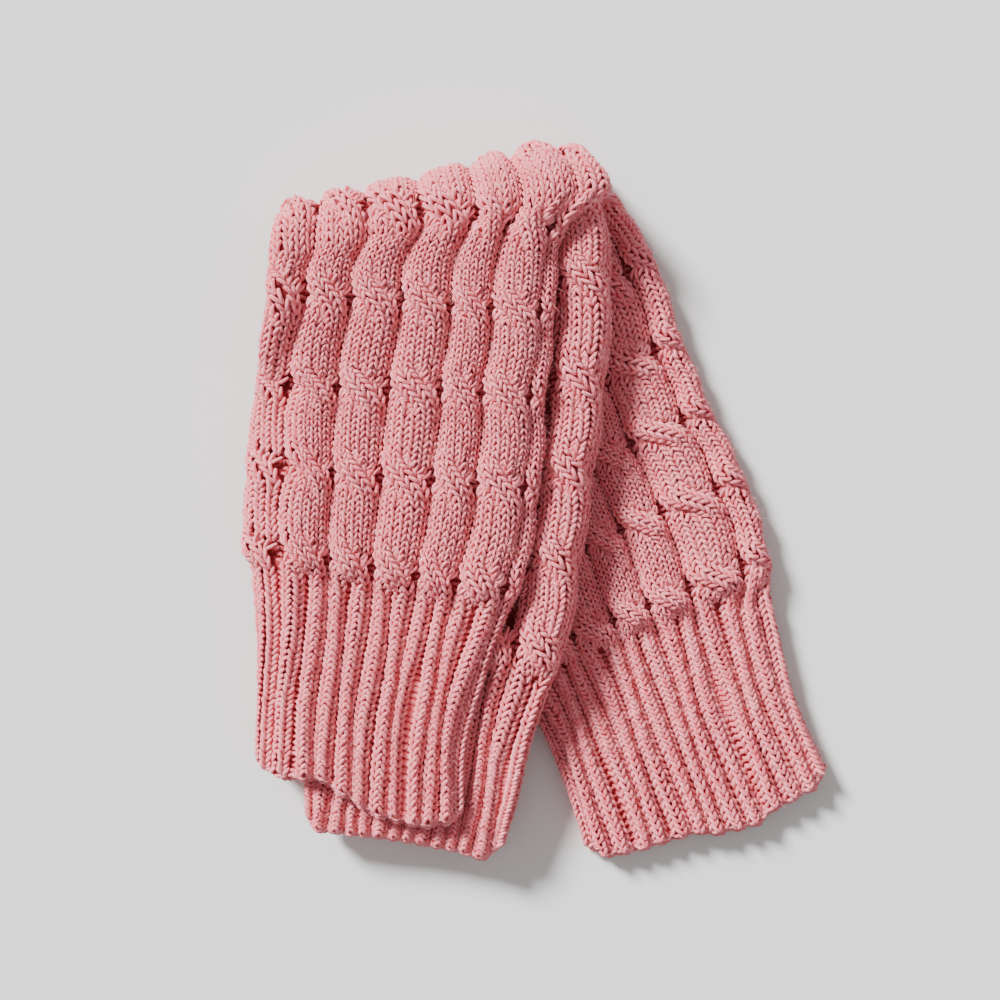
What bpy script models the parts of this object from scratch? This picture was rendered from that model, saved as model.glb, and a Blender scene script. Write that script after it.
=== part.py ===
"""Pair of cable knit stockings, laid together, folded in half and set down on a table.

Each stocking is a knitted tube, open at both ribbed cuffs. Stocking 1 lies outside: its upper half is on top,
it turns over at the back and its lower half lies on the table, splayed to the right. Stocking 2 lies inside
the fold, and its own lower half, which nothing shows, shares one rounded solid with its upper half.
Sizes are in millimetres until the meshes are made. +X is to the right and +Y to the folded end.
"""
import math
from collections import namedtuple

import bmesh
import bpy
import numpy as np

for old in list(bpy.data.objects):
    bpy.data.objects.remove(old, do_unlink=True)

METRE = 0.001

# The knitting
ROW = 1.94
CROSS_EVERY = 14.0
RINGS_A_CROSS = 6
CUFF_ROWS = 32.0
CUFF_BLEND = 5.0
CABLE_RISE = 3.3
RIB_RISE = 1.7
FRONT_LIFT = 0.2
BACK_DIP = 0.6
STRAND_HALF = 0.295
STRAND_AT = 0.29
EDGE_SCALLOP = 1.7

# The flattened tubes
HALF = 3.3
ROUND = 4.6
MOUTH_WALL = 2.4
MOUTH_DEPTH = 16.0
GAP = 0.6

# The stack of stocking 2: on the table at the left, on stocking 1's lower half at the right
STACK_LOW_TOP = 13.6
STACK_HIGH_TOP = 21.1
STACK_HIGH_UNDER = 7.0
UPPER_PANEL = 6.7

# The fold at the back: a half circle round a line that rises to the right
FOLD_RADIUS = 10.85
FOLD_HEIGHT = 14.15
FOLD_SLOPE = 0.2272

# Rows of knitting at the left and right edge, and where each edge lies in plan
Station = namedtuple("Station", "row_left row_right left_x left_y right_x right_y")
UPPER = [
    Station(0, 0, -80.5, -83.8, -9.5, -99.3),
    Station(12, 12, -79.6, -61.7, -8.3, -76.8),
    Station(24, 24, -79.2, -39.5, -1.5, -53.2),
    Station(37, 37, -80.9, -14.6, 7.0, -27.8),
    Station(51, 51, -80.0, 11.9, 12.9, 3.1),
    Station(65, 65, -77.5, 38.2, 14.6, 31.4),
    Station(78, 79, -74.4, 63.0, 17.6, 58.0),
    Station(81, 90, -73.3, 69.4, 18.8, 78.0),
    Station(84, 99, -72.5, 74.5, 20.0, 95.5),
]
LOWER = [
    Station(104, 121, -61.5, 77.0, 36.0, 99.1),
    Station(120, 128, -47.5, 54.5, 42.5, 88.5),
    Station(135, 135, -33.4, 32.1, 48.4, 78.3),
    Station(149, 149, -24.9, 10.5, 57.7, 51.8),
    Station(163, 163, -17.4, -9.2, 67.0, 29.2),
    Station(177, 177, -8.5, -30.1, 78.0, 6.9),
    Station(191, 191, 1.6, -53.1, 86.0, -18.4),
    Station(205, 205, 12.5, -72.7, 91.8, -45.9),
    Station(217, 217, 20.0, -90.1, 97.7, -67.2),
    Station(229, 229, 27.5, -113.4, 107.2, -87.5),
]
SECOND = [
    Station(0, 0, -63.6, -100.7, 1.6, -112.0),
    Station(12, 12, -63.3, -85.5, 6.1, -95.9),
    Station(24, 24, -63.9, -64.5, 10.0, -78.3),
    Station(38, 38, -67.0, -36.1, 19.5, -47.3),
    Station(52, 52, -67.1, -9.0, 24.5, -19.7),
    Station(66, 66, -64.5, 17.8, 28.4, 8.3),
    Station(80, 80, -61.5, 44.4, 32.1, 36.6),
    Station(92, 94, -60.0, 66.0, 34.0, 70.0),
    Station(97, 109, -59.0, 77.57, 34.5, 98.8),
]

# Where the purl gutters between the cables run, as a share of the width from the left edge
GUTTERS_UPPER = (-0.03, 0.13, 0.29, 0.465, 0.645, 0.80, 0.945, 1.09)
GUTTERS_LOWER = (-0.06, 0.10, 0.25, 0.41, 0.55, 0.71, 0.875, 1.04)
GUTTERS_SECOND = (-0.02, 0.14, 0.28, 0.42, 0.56, 0.70, 0.855, 1.01)
SAMPLES_IN_CABLE = (0.0, 0.13, 0.29, 0.5, 0.71, 0.87)

# How far each hem droops past its straight line, in millimetres, at a share of the width
Droop = namedtuple("Droop", "share past")
HEM_UPPER = [Droop(0, 0), Droop(0.1, 2.2), Droop(0.33, -0.5), Droop(0.42, 3.0), Droop(0.62, 7.0),
             Droop(0.82, 7.6), Droop(0.95, 4.5), Droop(1, 1.5)]
HEM_LOWER = [Droop(0, -1.0), Droop(0.08, 3.6), Droop(0.22, 4.4), Droop(0.40, 4.6), Droop(0.52, 7.4),
             Droop(0.66, 8.4), Droop(0.76, 5.4), Droop(0.92, 3.4), Droop(1, -1.0)]
HEM_SECOND = [Droop(0, 0), Droop(0.06, 4.5), Droop(0.5, 3.0), Droop(0.72, 3.6), Droop(0.92, 5.0), Droop(1, 0)]
HEM_REACH = 14.0

# Side of stocking 2's stack, from its upper panel down to its lower one
Side = namedtuple("Side", "inset level")
STACK_SIDE = [Side(2.1, 0.955), Side(0.6, 0.87), Side(0.0, 0.76), Side(0.6, 0.64), Side(3.2, 0.53),
              Side(3.9, 0.43), Side(3.1, 0.28), Side(3.9, 0.12)]
STACK_SIDE_FLAT = 6.5


def ease(t):
    """Smooth step from 0 to 1."""
    t = np.clip(t, 0.0, 1.0)
    return t * t * (3.0 - 2.0 * t)


def lookup(table, share):
    """Smoothly reads a short table of (share, value) rows."""
    shares = [row[0] for row in table]
    values = [row[1] for row in table]
    i = int(np.clip(np.searchsorted(shares, share) - 1, 0, len(table) - 2))
    t = (share - shares[i]) / (shares[i + 1] - shares[i])
    return values[i] + (values[i + 1] - values[i]) * float(ease(t))


def along(stations, t):
    """Reads the station columns at the fractional index t, on a smooth curve through them."""
    last = len(stations) - 1
    i = min(max(int(math.floor(t)), 0), last - 1)
    f = t - i
    p = [np.array(stations[min(max(k, 0), last)], dtype=float) for k in (i - 1, i, i + 1, i + 2)]
    if i == 0:
        p[0] = 2 * p[1] - p[2]
    if i == last - 1:
        p[3] = 2 * p[2] - p[1]
    return 0.5 * (2 * p[1] + (p[2] - p[0]) * f + (2 * p[0] - 5 * p[1] + 4 * p[2] - p[3]) * f * f
                  + (3 * p[1] - p[0] - 3 * p[2] + p[3]) * f ** 3)


def edge_at(stations, y, side):
    """The x of a stocking's left or right edge where it passes the given y."""
    ys = [s.left_y if side == "left" else s.right_y for s in stations]
    xs = [s.left_x if side == "left" else s.right_x for s in stations]
    if ys[0] > ys[-1]:
        ys, xs = ys[::-1], xs[::-1]
    return float(np.interp(y, ys, xs))


def from_fold(x, y):
    """Distance in plan from the fold's axis, positive past it."""
    return (y - 74.5 - FOLD_SLOPE * (x + 72.5)) / math.hypot(1.0, FOLD_SLOPE)


def inside_lower(x, y):
    """Distance in plan inside the left edge of stocking 1's lower half."""
    return (x - edge_at(LOWER, y, "left")) / 1.10


def stack_ramp(x, y, start, end):
    over_lower = ease((inside_lower(x, y) - start) / (end - start))
    near_fold = ease((from_fold(x, y) + 40.0) / 32.0)
    return 1.0 - (1.0 - over_lower) * (1.0 - near_fold)


def stack_top(x, y):
    """Height of stocking 2's upper side, without its relief."""
    return STACK_LOW_TOP + (STACK_HIGH_TOP - STACK_LOW_TOP) * float(stack_ramp(x, y, -34.0, 10.0))


def stack_under(x, y):
    """Height of stocking 2's underside: the table, or just over stocking 1's lower half."""
    return STACK_HIGH_UNDER * float(stack_ramp(x, y, -17.0, -3.0))


def upper_height(x, y):
    """Mid height of stocking 1's upper half, which drapes over stocking 2's left edge."""
    past_left = edge_at(SECOND, y, "left") + 1.6 - x
    depth = 11.6 * (1.0 - float(ease((from_fold(x, y) + 48.0) / 40.0)))
    return stack_top(x, y) + GAP + HALF - depth * float(ease(past_left / 17.0))


def hem_shift(droops, rows_in, share):
    """Moves the knitting near a hem along the stocking, so that the hem droops."""
    fade = 1.0 - float(ease(rows_in / HEM_REACH))
    return lookup(droops, share) * fade


def crossing_phase(row, first):
    """Rows from the nearest cable crossing, from -7 to 7."""
    return (row - first + CROSS_EVERY / 2) % CROSS_EVERY - CROSS_EVERY / 2


def knit_rise(row, share, gutters, first, slant, hem_row):
    """Relief of cables and ribs over the plain tube, from 0 in a gutter."""
    i = int(np.clip(np.searchsorted(gutters, share, side="right") - 1, 0, len(gutters) - 2))
    f = (share - gutters[i]) / (gutters[i + 1] - gutters[i])
    phase = crossing_phase(row, first)
    turn = float(ease((phase + 3.2) / 6.4))
    near = math.exp(-(phase / 2.7) ** 2)
    if slant < 0:
        turn = 1.0 - turn
    front = STRAND_AT + (1.0 - 2.0 * STRAND_AT) * turn
    back = 1.0 - front
    strand = []
    for centre, height in ((front, 1.0 + FRONT_LIFT * near), (back, 1.0 - BACK_DIP * near)):
        off = (f - centre) / STRAND_HALF
        strand.append(height * math.sqrt(max(0.0, 1.0 - off * off)))
    cable = CABLE_RISE * max(strand) * (0.93 + 0.07 * math.cos(phase / 7.0 * math.pi + math.pi))
    rib = RIB_RISE * (0.5 - 0.5 * math.cos(4.0 * math.pi * f))
    body = float(ease((abs(row - hem_row) - CUFF_ROWS) / CUFF_BLEND))
    return rib + (cable - rib) * body


def edge_bulge(row, first, hem_row):
    """How far a cable's lobe swells past the straight edge."""
    body = float(ease((abs(row - hem_row) - CUFF_ROWS) / CUFF_BLEND))
    lobe = 0.5 - 0.5 * math.cos(2.0 * math.pi * (row - first) / CROSS_EVERY)
    return EDGE_SCALLOP * lobe * body


def on_line(columns, share, row, first, hem_row):
    """Point in plan on a station's line, with its edges swelling at each lobe."""
    left = columns[2:4]
    right = columns[4:6]
    across = (right - left) / np.linalg.norm(right - left)
    bulge = edge_bulge(row, first, hem_row) * across
    return (left - bulge) * (1.0 - share) + (right + bulge) * share


FIRST_CROSSING = 37.0
SECOND_CROSSING = 38.0
HEM_ROW_LOWER = 229.0
FOLD_PART = 10.0


def middle(t, share):
    """Mid surface of stocking 1 at t: 0 to 8 upper half, 8 to 18 the fold, 18 to 27 lower half."""
    top = len(UPPER) - 1
    if t <= top:
        columns = along(UPPER, t)
        row = columns[0] + (columns[1] - columns[0]) * share
        x, y = on_line(columns, share, row, FIRST_CROSSING, 0.0)
        down = np.array([-0.105, -0.994])
        x, y = np.array([x, y]) + down * hem_shift(HEM_UPPER, row, share)
        return np.array([x, y, upper_height(x, y)]), row
    if t < top + FOLD_PART:
        part = (t - top) / FOLD_PART
        columns = np.array(UPPER[-1], dtype=float) * (1.0 - part) + np.array(LOWER[0], dtype=float) * part
        row = columns[0] + (columns[1] - columns[0]) * share
        x, y = on_line(columns, share, row, FIRST_CROSSING, 0.0)
        out = np.array([-FOLD_SLOPE, 1.0]) / math.hypot(1.0, FOLD_SLOPE)
        angle = math.pi * part
        x, y = np.array([x, y]) + out * FOLD_RADIUS * math.sin(angle)
        return np.array([x, y, FOLD_HEIGHT + FOLD_RADIUS * math.cos(angle)]), row
    columns = along(LOWER, t - top - FOLD_PART)
    row = columns[0] + (columns[1] - columns[0]) * share
    x, y = on_line(columns, share, row, FIRST_CROSSING, HEM_ROW_LOWER)
    down = np.array([0.36, -0.933])
    x, y = np.array([x, y]) + down * hem_shift(HEM_LOWER, HEM_ROW_LOWER - row, share)
    return np.array([x, y, HALF]), row


def outward(t, share):
    """Outward normal of stocking 1's mid surface."""
    step = 0.04
    across = middle(t, min(share + 0.02, 1.0))[0] - middle(t, max(share - 0.02, 0.0))[0]
    ahead = middle(t + step, share)[0] - middle(t - step, share)[0]
    normal = np.cross(across, ahead)
    return normal / np.linalg.norm(normal)


def rounding(share, width):
    """From 0 at a tube's edge to 1 where it is flat."""
    inset = min(share, 1.0 - share) * width
    if inset >= ROUND:
        return 1.0
    return math.sqrt(max(0.0, 1.0 - (1.0 - inset / ROUND) ** 2))


def fine_shares(gutters):
    """Places across a visible face: in each gutter, on the strands and between them."""
    found = [0.0, 0.006, 1.0, 0.994]
    for a, b in zip(gutters, gutters[1:]):
        found += [a + (b - a) * f for f in SAMPLES_IN_CABLE]
    return sorted(s for s in found if 0.0 <= s <= 1.0 and (s in (0.0, 0.006, 0.994, 1.0) or 0.014 < s < 0.986))


PLAIN_SHARES = [0.0, 0.006, 0.02, 0.05, 0.15, 0.25, 0.35, 0.45, 0.55, 0.65, 0.75, 0.85, 0.95, 0.98, 0.994, 1.0]
FLOOR_SHARES = [0.0, 0.006, 0.02, 0.05, 0.2, 0.4, 0.6, 0.8, 0.95, 0.98, 0.994, 1.0]


def join_rows(bm, a, b):
    """Fills between two rows of points that run the same way, whatever their counts."""
    (points_a, shares_a), (points_b, shares_b) = a, b
    i = j = 0
    while i < len(points_a) - 1 or j < len(points_b) - 1:
        same = i < len(points_a) - 1 and j < len(points_b) - 1 and abs(shares_a[i + 1] - shares_b[j + 1]) < 1e-6
        if same:
            corners = [points_a[i], points_a[i + 1], points_b[j + 1], points_b[j]]
            i, j = i + 1, j + 1
        elif j == len(points_b) - 1 or (i < len(points_a) - 1 and shares_a[i + 1] < shares_b[j + 1]):
            corners = [points_a[i], points_a[i + 1], points_b[j]]
            i += 1
        else:
            corners = [points_a[i], points_b[j + 1], points_b[j]]
            j += 1
        distinct = list(dict.fromkeys(corners))
        if len(distinct) > 2:
            bm.faces.new(distinct)


def loft(name, rings):
    """Closed solid through rings; a ring is two rows of points, over and under, with shared ends."""
    bm = bmesh.new()
    made = []
    for (over, over_shares), (under, under_shares) in rings:
        top = [bm.verts.new(p * METRE) for p in over]
        low = [top[0]] + [bm.verts.new(p * METRE) for p in under[1:-1]] + [top[-1]]
        made.append(((top, over_shares), (low, under_shares)))
    for (top_a, low_a), (top_b, low_b) in zip(made, made[1:]):
        join_rows(bm, top_a, top_b)
        join_rows(bm, (low_b[0], low_b[1]), (low_a[0], low_a[1]))
    for top, low in (made[0], made[-1]):
        join_rows(bm, low, top)
    bmesh.ops.recalc_face_normals(bm, faces=bm.faces)
    bmesh.ops.triangulate(bm, faces=[f for f in bm.faces if len(f.verts) > 3])
    mesh = bpy.data.meshes.new(name)
    bm.to_mesh(mesh)
    bm.free()
    mesh.shade_smooth()
    return bpy.data.objects.new(name, mesh)


def fold_angle(t):
    """Turn of the fold, in degrees, at t on stocking 1."""
    return 180.0 * float(np.clip((t - len(UPPER) + 1) / FOLD_PART, 0.0, 1.0))


def stocking_1_ring(t, outer_shares, inner_shares, gutters):
    """One ring of stocking 1: outside over the mid surface, inside under it."""
    width = np.linalg.norm(middle(t, 1.0)[0] - middle(t, 0.0)[0])
    angle = fold_angle(t)
    rows = []
    for shares, sign in ((outer_shares, 1.0), (inner_shares, -1.0)):
        points = []
        for share in shares:
            point, row = middle(t, share)
            full = rounding(share, width)
            if sign > 0:
                shown = float(ease((150.0 - angle) / 55.0))
                rise = knit_rise(row, share, gutters, FIRST_CROSSING, -1, 0.0)
            else:
                beyond = point[0] - edge_at(SECOND, point[1], "right")
                shown = float(ease((beyond + 1.5) / 4.0)) * float(ease((row - 118.0) / 6.0)) * (angle >= 180.0)
                rise = knit_rise(row, share, gutters, FIRST_CROSSING, 1, HEM_ROW_LOWER)
            points.append(point + sign * outward(t, share) * full * (HALF + shown * rise))
        rows.append((points, shares))
    return rows


def slit_ring(t, shares, half):
    """Thin ring inside stocking 1, for the cuff's mouth."""
    width = np.linalg.norm(middle(t, 1.0)[0] - middle(t, 0.0)[0])
    inset = MOUTH_WALL / width
    rows = []
    for sign in (1.0, -1.0):
        points = []
        for share in shares:
            inner = inset + share * (1.0 - 2.0 * inset)
            point, _ = middle(t, inner)
            full = math.sqrt(max(0.0, 1.0 - (1.0 - min(min(share, 1 - share) * width / 3.0, 1.0)) ** 2))
            points.append(point + sign * outward(t, inner) * full * half)
        rows.append((points, shares))
    return rows


def ring_stops(stations, start_index):
    """Fractional indices along a table so that rings fall on crossings and evenly between them."""
    stops = []
    for i, (a, b) in enumerate(zip(stations, stations[1:])):
        rows = abs(b.row_left - a.row_left + b.row_right - a.row_right) / 2.0
        count = max(1, round(rows * RINGS_A_CROSS / CROSS_EVERY))
        stops += [start_index + i + k / count for k in range(count)]
    return stops


def make_stocking_1():
    """Stocking 1: open cuff on top, upper half, fold, lower half, open cuff on the table."""
    fold_start = len(UPPER) - 1
    fold_end = fold_start + FOLD_PART
    last = fold_end + len(LOWER) - 1
    fine_up = fine_shares(GUTTERS_UPPER)
    fine_low = fine_shares(GUTTERS_LOWER)
    rings = []
    rings.append(slit_ring(MOUTH_DEPTH / ROW / 12.0, fine_up, 0.35))
    rings.append(slit_ring(0.12, fine_up, 0.9))
    rings.append(slit_ring(0.0, fine_up, HALF - MOUTH_WALL + 0.3))
    for t in ring_stops(UPPER, 0):
        rings.append(stocking_1_ring(t, fine_up, PLAIN_SHARES, GUTTERS_UPPER))
    for angle in (0, 22, 45, 68, 90, 112, 134, 156):
        t = fold_start + FOLD_PART * angle / 180.0
        rings.append(stocking_1_ring(t, fine_up, PLAIN_SHARES, GUTTERS_UPPER))
    partly_covered = [s for s in PLAIN_SHARES if s < 0.5] + [s for s in fine_low if s > 0.5]
    for t in ring_stops(LOWER, fold_end) + [last]:
        shares = fine_low if t > fold_end + 4 else partly_covered
        rings.append(stocking_1_ring(t, FLOOR_SHARES, shares, GUTTERS_LOWER))
    rings.append(slit_ring(last, fine_low, HALF - MOUTH_WALL + 0.3))
    rings.append(slit_ring(last - 0.12, fine_low, 0.9))
    rings.append(slit_ring(last - MOUTH_DEPTH / ROW / 12.0, fine_low, 0.35))
    return loft("stocking_1", rings)


def second_point(t, share):
    """Place in plan on stocking 2, and its row."""
    columns = along(SECOND, t)
    row = columns[0] + (columns[1] - columns[0]) * share
    x, y = on_line(columns, share, row, SECOND_CROSSING, 0.0)
    down = np.array([-0.2, -0.98])
    x, y = np.array([x, y]) + down * hem_shift(HEM_SECOND, row, share)
    return np.array([x, y]), row


def second_shown(x, y, row):
    """1 where stocking 2 shows past stocking 1's upper half, 0 where it is covered."""
    beside = float(ease((x - edge_at(UPPER, y, "right") + 1.0) / 3.5))
    share = (x + 80.5) / 71.0
    hem_y = -83.8 - 15.5 * share - lookup(HEM_UPPER, min(max(share, 0.0), 1.0))
    below = float(ease((hem_y - y - 1.0) / 3.5))
    return max(beside, below)


def stocking_2_ring(t, top_shares, drop_lower, past_axis):
    """One ring of stocking 2's stack; past_axis runs round the end inside the fold."""
    width = np.linalg.norm(second_point(t, 1.0)[0] - second_point(t, 0.0)[0])
    out = np.array([-FOLD_SLOPE, 1.0]) / math.hypot(1.0, FOLD_SLOPE)
    half_end = (STACK_HIGH_TOP - STACK_HIGH_UNDER) / 2.0
    shrink = math.sqrt(max(0.0, 1.0 - (past_axis / half_end) ** 2))

    def heights(x, y):
        top = stack_top(x, y)
        low = stack_under(x, y)
        low = low + (top - UPPER_PANEL - low) * drop_lower
        centre = (top + low) / 2.0
        return centre + (top - centre) * shrink, centre + (low - centre) * shrink

    def place(share):
        point, row = second_point(t, share)
        point = point + out * past_axis
        return point[0], point[1], row

    flat = STACK_SIDE_FLAT / width
    over = []
    for share in top_shares:
        inner = flat + share * (1.0 - 2.0 * flat)
        x, y, row = place(inner)
        top, _ = heights(x, y)
        rise = knit_rise(row, inner, GUTTERS_SECOND, SECOND_CROSSING, -1, 0.0)
        fade = shrink if past_axis > 0 else 1.0
        over.append(np.array([x, y, top + rise * second_shown(x, y, row) * fade]))
    left = []
    right = []
    for inset, level in STACK_SIDE:
        inset = (inset * (1.0 - drop_lower) + min(inset, 2.0) * drop_lower) / width
        for share, store in ((inset, left), (1.0 - inset, right)):
            x, y, row = place(share)
            top, low = heights(x, y)
            rise = 0.7 * knit_rise(row, 0.97, GUTTERS_SECOND, SECOND_CROSSING, -1, 0.0)
            lift = rise * second_shown(x, y, row) * ease((level - 0.8) / 0.2)
            store.append(np.array([x, y, low + (top - low) * level + lift]))
    under = []
    for share in (0.0, 0.12, 0.24, 0.36, 0.48, 0.6, 0.72, 0.84, 1.0):
        inner = flat + share * (1.0 - 2.0 * flat)
        x, y, _ = place(inner)
        under.append(np.array([x, y, heights(x, y)[1]]))
    count = len(STACK_SIDE)
    over_points = left[2::-1] + over + right[:3]
    over_shares = [-3.0, -2.0, -1.0] + list(top_shares) + [2.0, 3.0, 4.0]
    under_points = left[2:] + under + right[:1:-1]
    under_shares = [float(k) for k in range(2 - count, 0)] + [0.01 * k for k in range(9)]
    under_shares += [float(k) for k in range(2, 2 + count - 2)]
    return [(over_points, over_shares), (under_points, under_shares)]


def second_slit(t, top_shares, half):
    """Thin ring inside stocking 2's upper panel, for its cuff's mouth."""
    width = np.linalg.norm(second_point(t, 1.0)[0] - second_point(t, 0.0)[0])
    inset = (MOUTH_WALL + 0.6) / width
    rows = []
    for sign in (1.0, -1.0):
        points = []
        for share in top_shares:
            inner = inset + share * (1.0 - 2.0 * inset)
            (x, y), _ = second_point(t, inner)
            full = math.sqrt(max(0.0, 1.0 - (1.0 - min(min(share, 1 - share) * width / 3.0, 1.0)) ** 2))
            points.append(np.array([x, y, stack_top(x, y) - UPPER_PANEL / 2.0 + sign * half * full]))
        rows.append((points, list(top_shares)))
    return rows


def make_stocking_2():
    """Stocking 2: open cuff, upper half and the hidden layers under it, rounded inside the fold."""
    fine = [s for s in fine_shares(GUTTERS_SECOND) if 0.02 < s < 0.98]
    cuff_shares = [0.0] + fine + [1.0]
    plain_shares = [0.0, 0.1, 0.2, 0.3, 0.4, 0.5, 0.6] + [s for s in fine if s > 0.66] + [1.0]
    rings = []
    rings.append(second_slit(MOUTH_DEPTH / ROW / 12.0, cuff_shares, 0.35))
    rings.append(second_slit(0.12, cuff_shares, 0.8))
    rings.append(second_slit(0.0, cuff_shares, 1.1))
    for t, drop in ((0.0, 1.0), (0.14, 1.0), (0.24, 0.0)):
        rings.append(stocking_2_ring(t, cuff_shares, drop, 0.0))
    for t in ring_stops(SECOND, 0):
        if 0.3 < t:
            shares = cuff_shares if t < 1.3 else plain_shares
            rings.append(stocking_2_ring(t, shares, 0.0, 0.0))
    last = len(SECOND) - 1
    for past in (0.0, 2.6, 4.7, 6.1, 6.9):
        rings.append(stocking_2_ring(last, plain_shares, 0.0, past))
    return loft("stocking_2", rings)


def yarn(name, colour):
    """Soft matt knitting yarn."""
    material = bpy.data.materials.new(name)
    material.use_nodes = True
    shader = material.node_tree.nodes["Principled BSDF"]
    shader.inputs["Base Color"].default_value = (*colour, 1.0)
    shader.inputs["Roughness"].default_value = 0.9
    shader.inputs["Metallic"].default_value = 0.0
    return material


stockings = [make_stocking_1(), make_stocking_2()]
collection = bpy.data.collections.new("cable_knit_stockings")
bpy.context.scene.collection.children.link(collection)
everything = np.array([vertex.co for piece in stockings for vertex in piece.data.vertices])
centre = (everything.min(axis=0) + everything.max(axis=0)) / 2.0
for piece, tint in zip(stockings, ((0.76, 0.26, 0.31), (0.72, 0.23, 0.28))):
    for vertex in piece.data.vertices:
        vertex.co.x -= float(centre[0])
        vertex.co.y -= float(centre[1])
    piece.data.materials.append(yarn(piece.name + "_yarn", tint))
    collection.objects.link(piece)
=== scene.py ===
# %% [markdown]
# # A folded pair of cable knit stockings, stitch by stitch
# The real thing is two knitted tubes with open, ribbed cuffs at both ends, laid together and folded in
# half. A picture of knitting on a smooth tube looks flat, so here every knit stitch that shows is modelled
# as two plump legs of yarn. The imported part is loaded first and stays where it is: it is the frame for
# everything.

# %% Load the frame
import math
from collections import namedtuple

import bpy
import numpy as np
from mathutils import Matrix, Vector


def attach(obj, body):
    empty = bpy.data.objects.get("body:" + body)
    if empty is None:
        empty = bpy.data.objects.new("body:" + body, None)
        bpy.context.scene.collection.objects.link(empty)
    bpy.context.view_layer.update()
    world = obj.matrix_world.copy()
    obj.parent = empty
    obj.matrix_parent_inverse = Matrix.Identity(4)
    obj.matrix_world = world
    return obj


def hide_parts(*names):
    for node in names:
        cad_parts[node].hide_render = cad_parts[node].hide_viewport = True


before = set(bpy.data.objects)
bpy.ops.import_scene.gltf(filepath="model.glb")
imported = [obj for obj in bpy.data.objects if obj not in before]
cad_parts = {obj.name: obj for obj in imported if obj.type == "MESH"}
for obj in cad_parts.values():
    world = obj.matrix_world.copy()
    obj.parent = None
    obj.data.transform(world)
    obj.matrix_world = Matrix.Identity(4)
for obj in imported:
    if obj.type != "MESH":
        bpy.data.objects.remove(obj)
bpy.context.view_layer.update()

MM = 0.001

# %% [markdown]
# ## The camera
# The photo looks straight down from about half a metre. The plan of the part was worked out in the same
# view, with the middle of the picture a little left of the middle of the part.

# %% Camera straight above
PICTURE_MIDDLE = (-12.22, 1.62)
CAMERA_HEIGHT = 500.0
FLOOR_IN_VIEW = 330.0

camera = bpy.data.objects.new("camera", bpy.data.cameras.new("camera"))
camera.data.sensor_width = 36.0
camera.data.lens = 36.0 * CAMERA_HEIGHT / FLOOR_IN_VIEW
camera.location = (PICTURE_MIDDLE[0] * MM, PICTURE_MIDDLE[1] * MM, CAMERA_HEIGHT * MM)
bpy.context.scene.collection.objects.link(camera)
bpy.context.scene.camera = camera
print("lens", round(camera.data.lens, 1), "mm")

# %% [markdown]
# ## Where each stocking lies
# A flattened tube is easiest to follow by its two edges. Each table row is one line across the tube: the
# row of knitting it has at its left and right end, and where those ends lie in plan, in millimetres. A
# smooth curve runs through the rows. The upper half of stocking 1 turns over at the back and comes out as
# its lower half.

# %% Tables of the edges
Station = namedtuple("Station", "row_left row_right left_x left_y right_x right_y")
UPPER = np.array([
    Station(0, 0, -78.5, -83.8, -11.5, -99.3),
    Station(12, 12, -77.6, -61.7, -10.3, -76.8),
    Station(24, 24, -77.2, -39.5, -3.5, -53.2),
    Station(37, 37, -78.9, -14.6, 5.0, -27.8),
    Station(51, 51, -78.0, 11.9, 10.9, 3.1),
    Station(65, 65, -75.5, 38.2, 12.6, 31.4),
    Station(78, 79, -72.4, 63.0, 15.6, 58.0),
    Station(81, 90, -71.3, 69.4, 16.8, 78.0),
    Station(84, 99, -70.5, 74.5, 26.5, 97.0),
], dtype=float)
LOWER = np.array([
    Station(104, 121, -61.5, 77.0, 36.0, 99.1),
    Station(120, 128, -47.5, 54.5, 42.5, 88.5),
    Station(135, 135, -33.4, 32.1, 48.4, 78.3),
    Station(149, 149, -24.9, 10.5, 57.7, 51.8),
    Station(163, 163, -17.4, -9.2, 67.0, 29.2),
    Station(177, 177, -8.5, -30.1, 78.0, 6.9),
    Station(191, 191, 1.6, -53.1, 86.0, -18.4),
    Station(205, 205, 12.5, -72.7, 91.8, -45.9),
    Station(217, 217, 20.0, -90.1, 97.7, -67.2),
    Station(229, 229, 27.5, -113.4, 107.2, -87.5),
], dtype=float)
SECOND = np.array([
    Station(0, 0, -63.6, -100.7, 1.6, -112.0),
    Station(12, 12, -63.3, -85.5, 6.1, -95.9),
    Station(24, 24, -63.9, -64.5, 10.0, -78.3),
    Station(38, 38, -67.0, -36.1, 19.5, -47.3),
    Station(52, 52, -67.1, -9.0, 24.5, -19.7),
    Station(66, 66, -64.5, 17.8, 28.4, 8.3),
    Station(80, 80, -61.5, 44.4, 32.1, 36.6),
    Station(92, 94, -60.0, 66.0, 34.0, 70.0),
    Station(97, 109, -59.0, 77.57, 31.0, 97.0),
], dtype=float)
PART_MIDDLE = np.array([12.22, -1.62, 0.0])
print(len(UPPER), len(LOWER), len(SECOND), "stations")


def ease(t):
    """Smooth step from 0 to 1."""
    t = np.clip(t, 0.0, 1.0)
    return t * t * (3.0 - 2.0 * t)


def along(stations, t):
    """Station columns at fractional indices t, on a smooth curve through the rows."""
    last = len(stations) - 1
    padded = np.vstack([2 * stations[0] - stations[1], stations, 2 * stations[-1] - stations[-2]])
    i = np.clip(np.floor(t).astype(int), 0, last - 1)
    f = (t - i)[:, None]
    p0, p1, p2, p3 = padded[i], padded[i + 1], padded[i + 2], padded[i + 3]
    return 0.5 * (2 * p1 + (p2 - p0) * f + (2 * p0 - 5 * p1 + 4 * p2 - p3) * f ** 2
                  + (3 * p1 - p0 - 3 * p2 + p3) * f ** 3)


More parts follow.
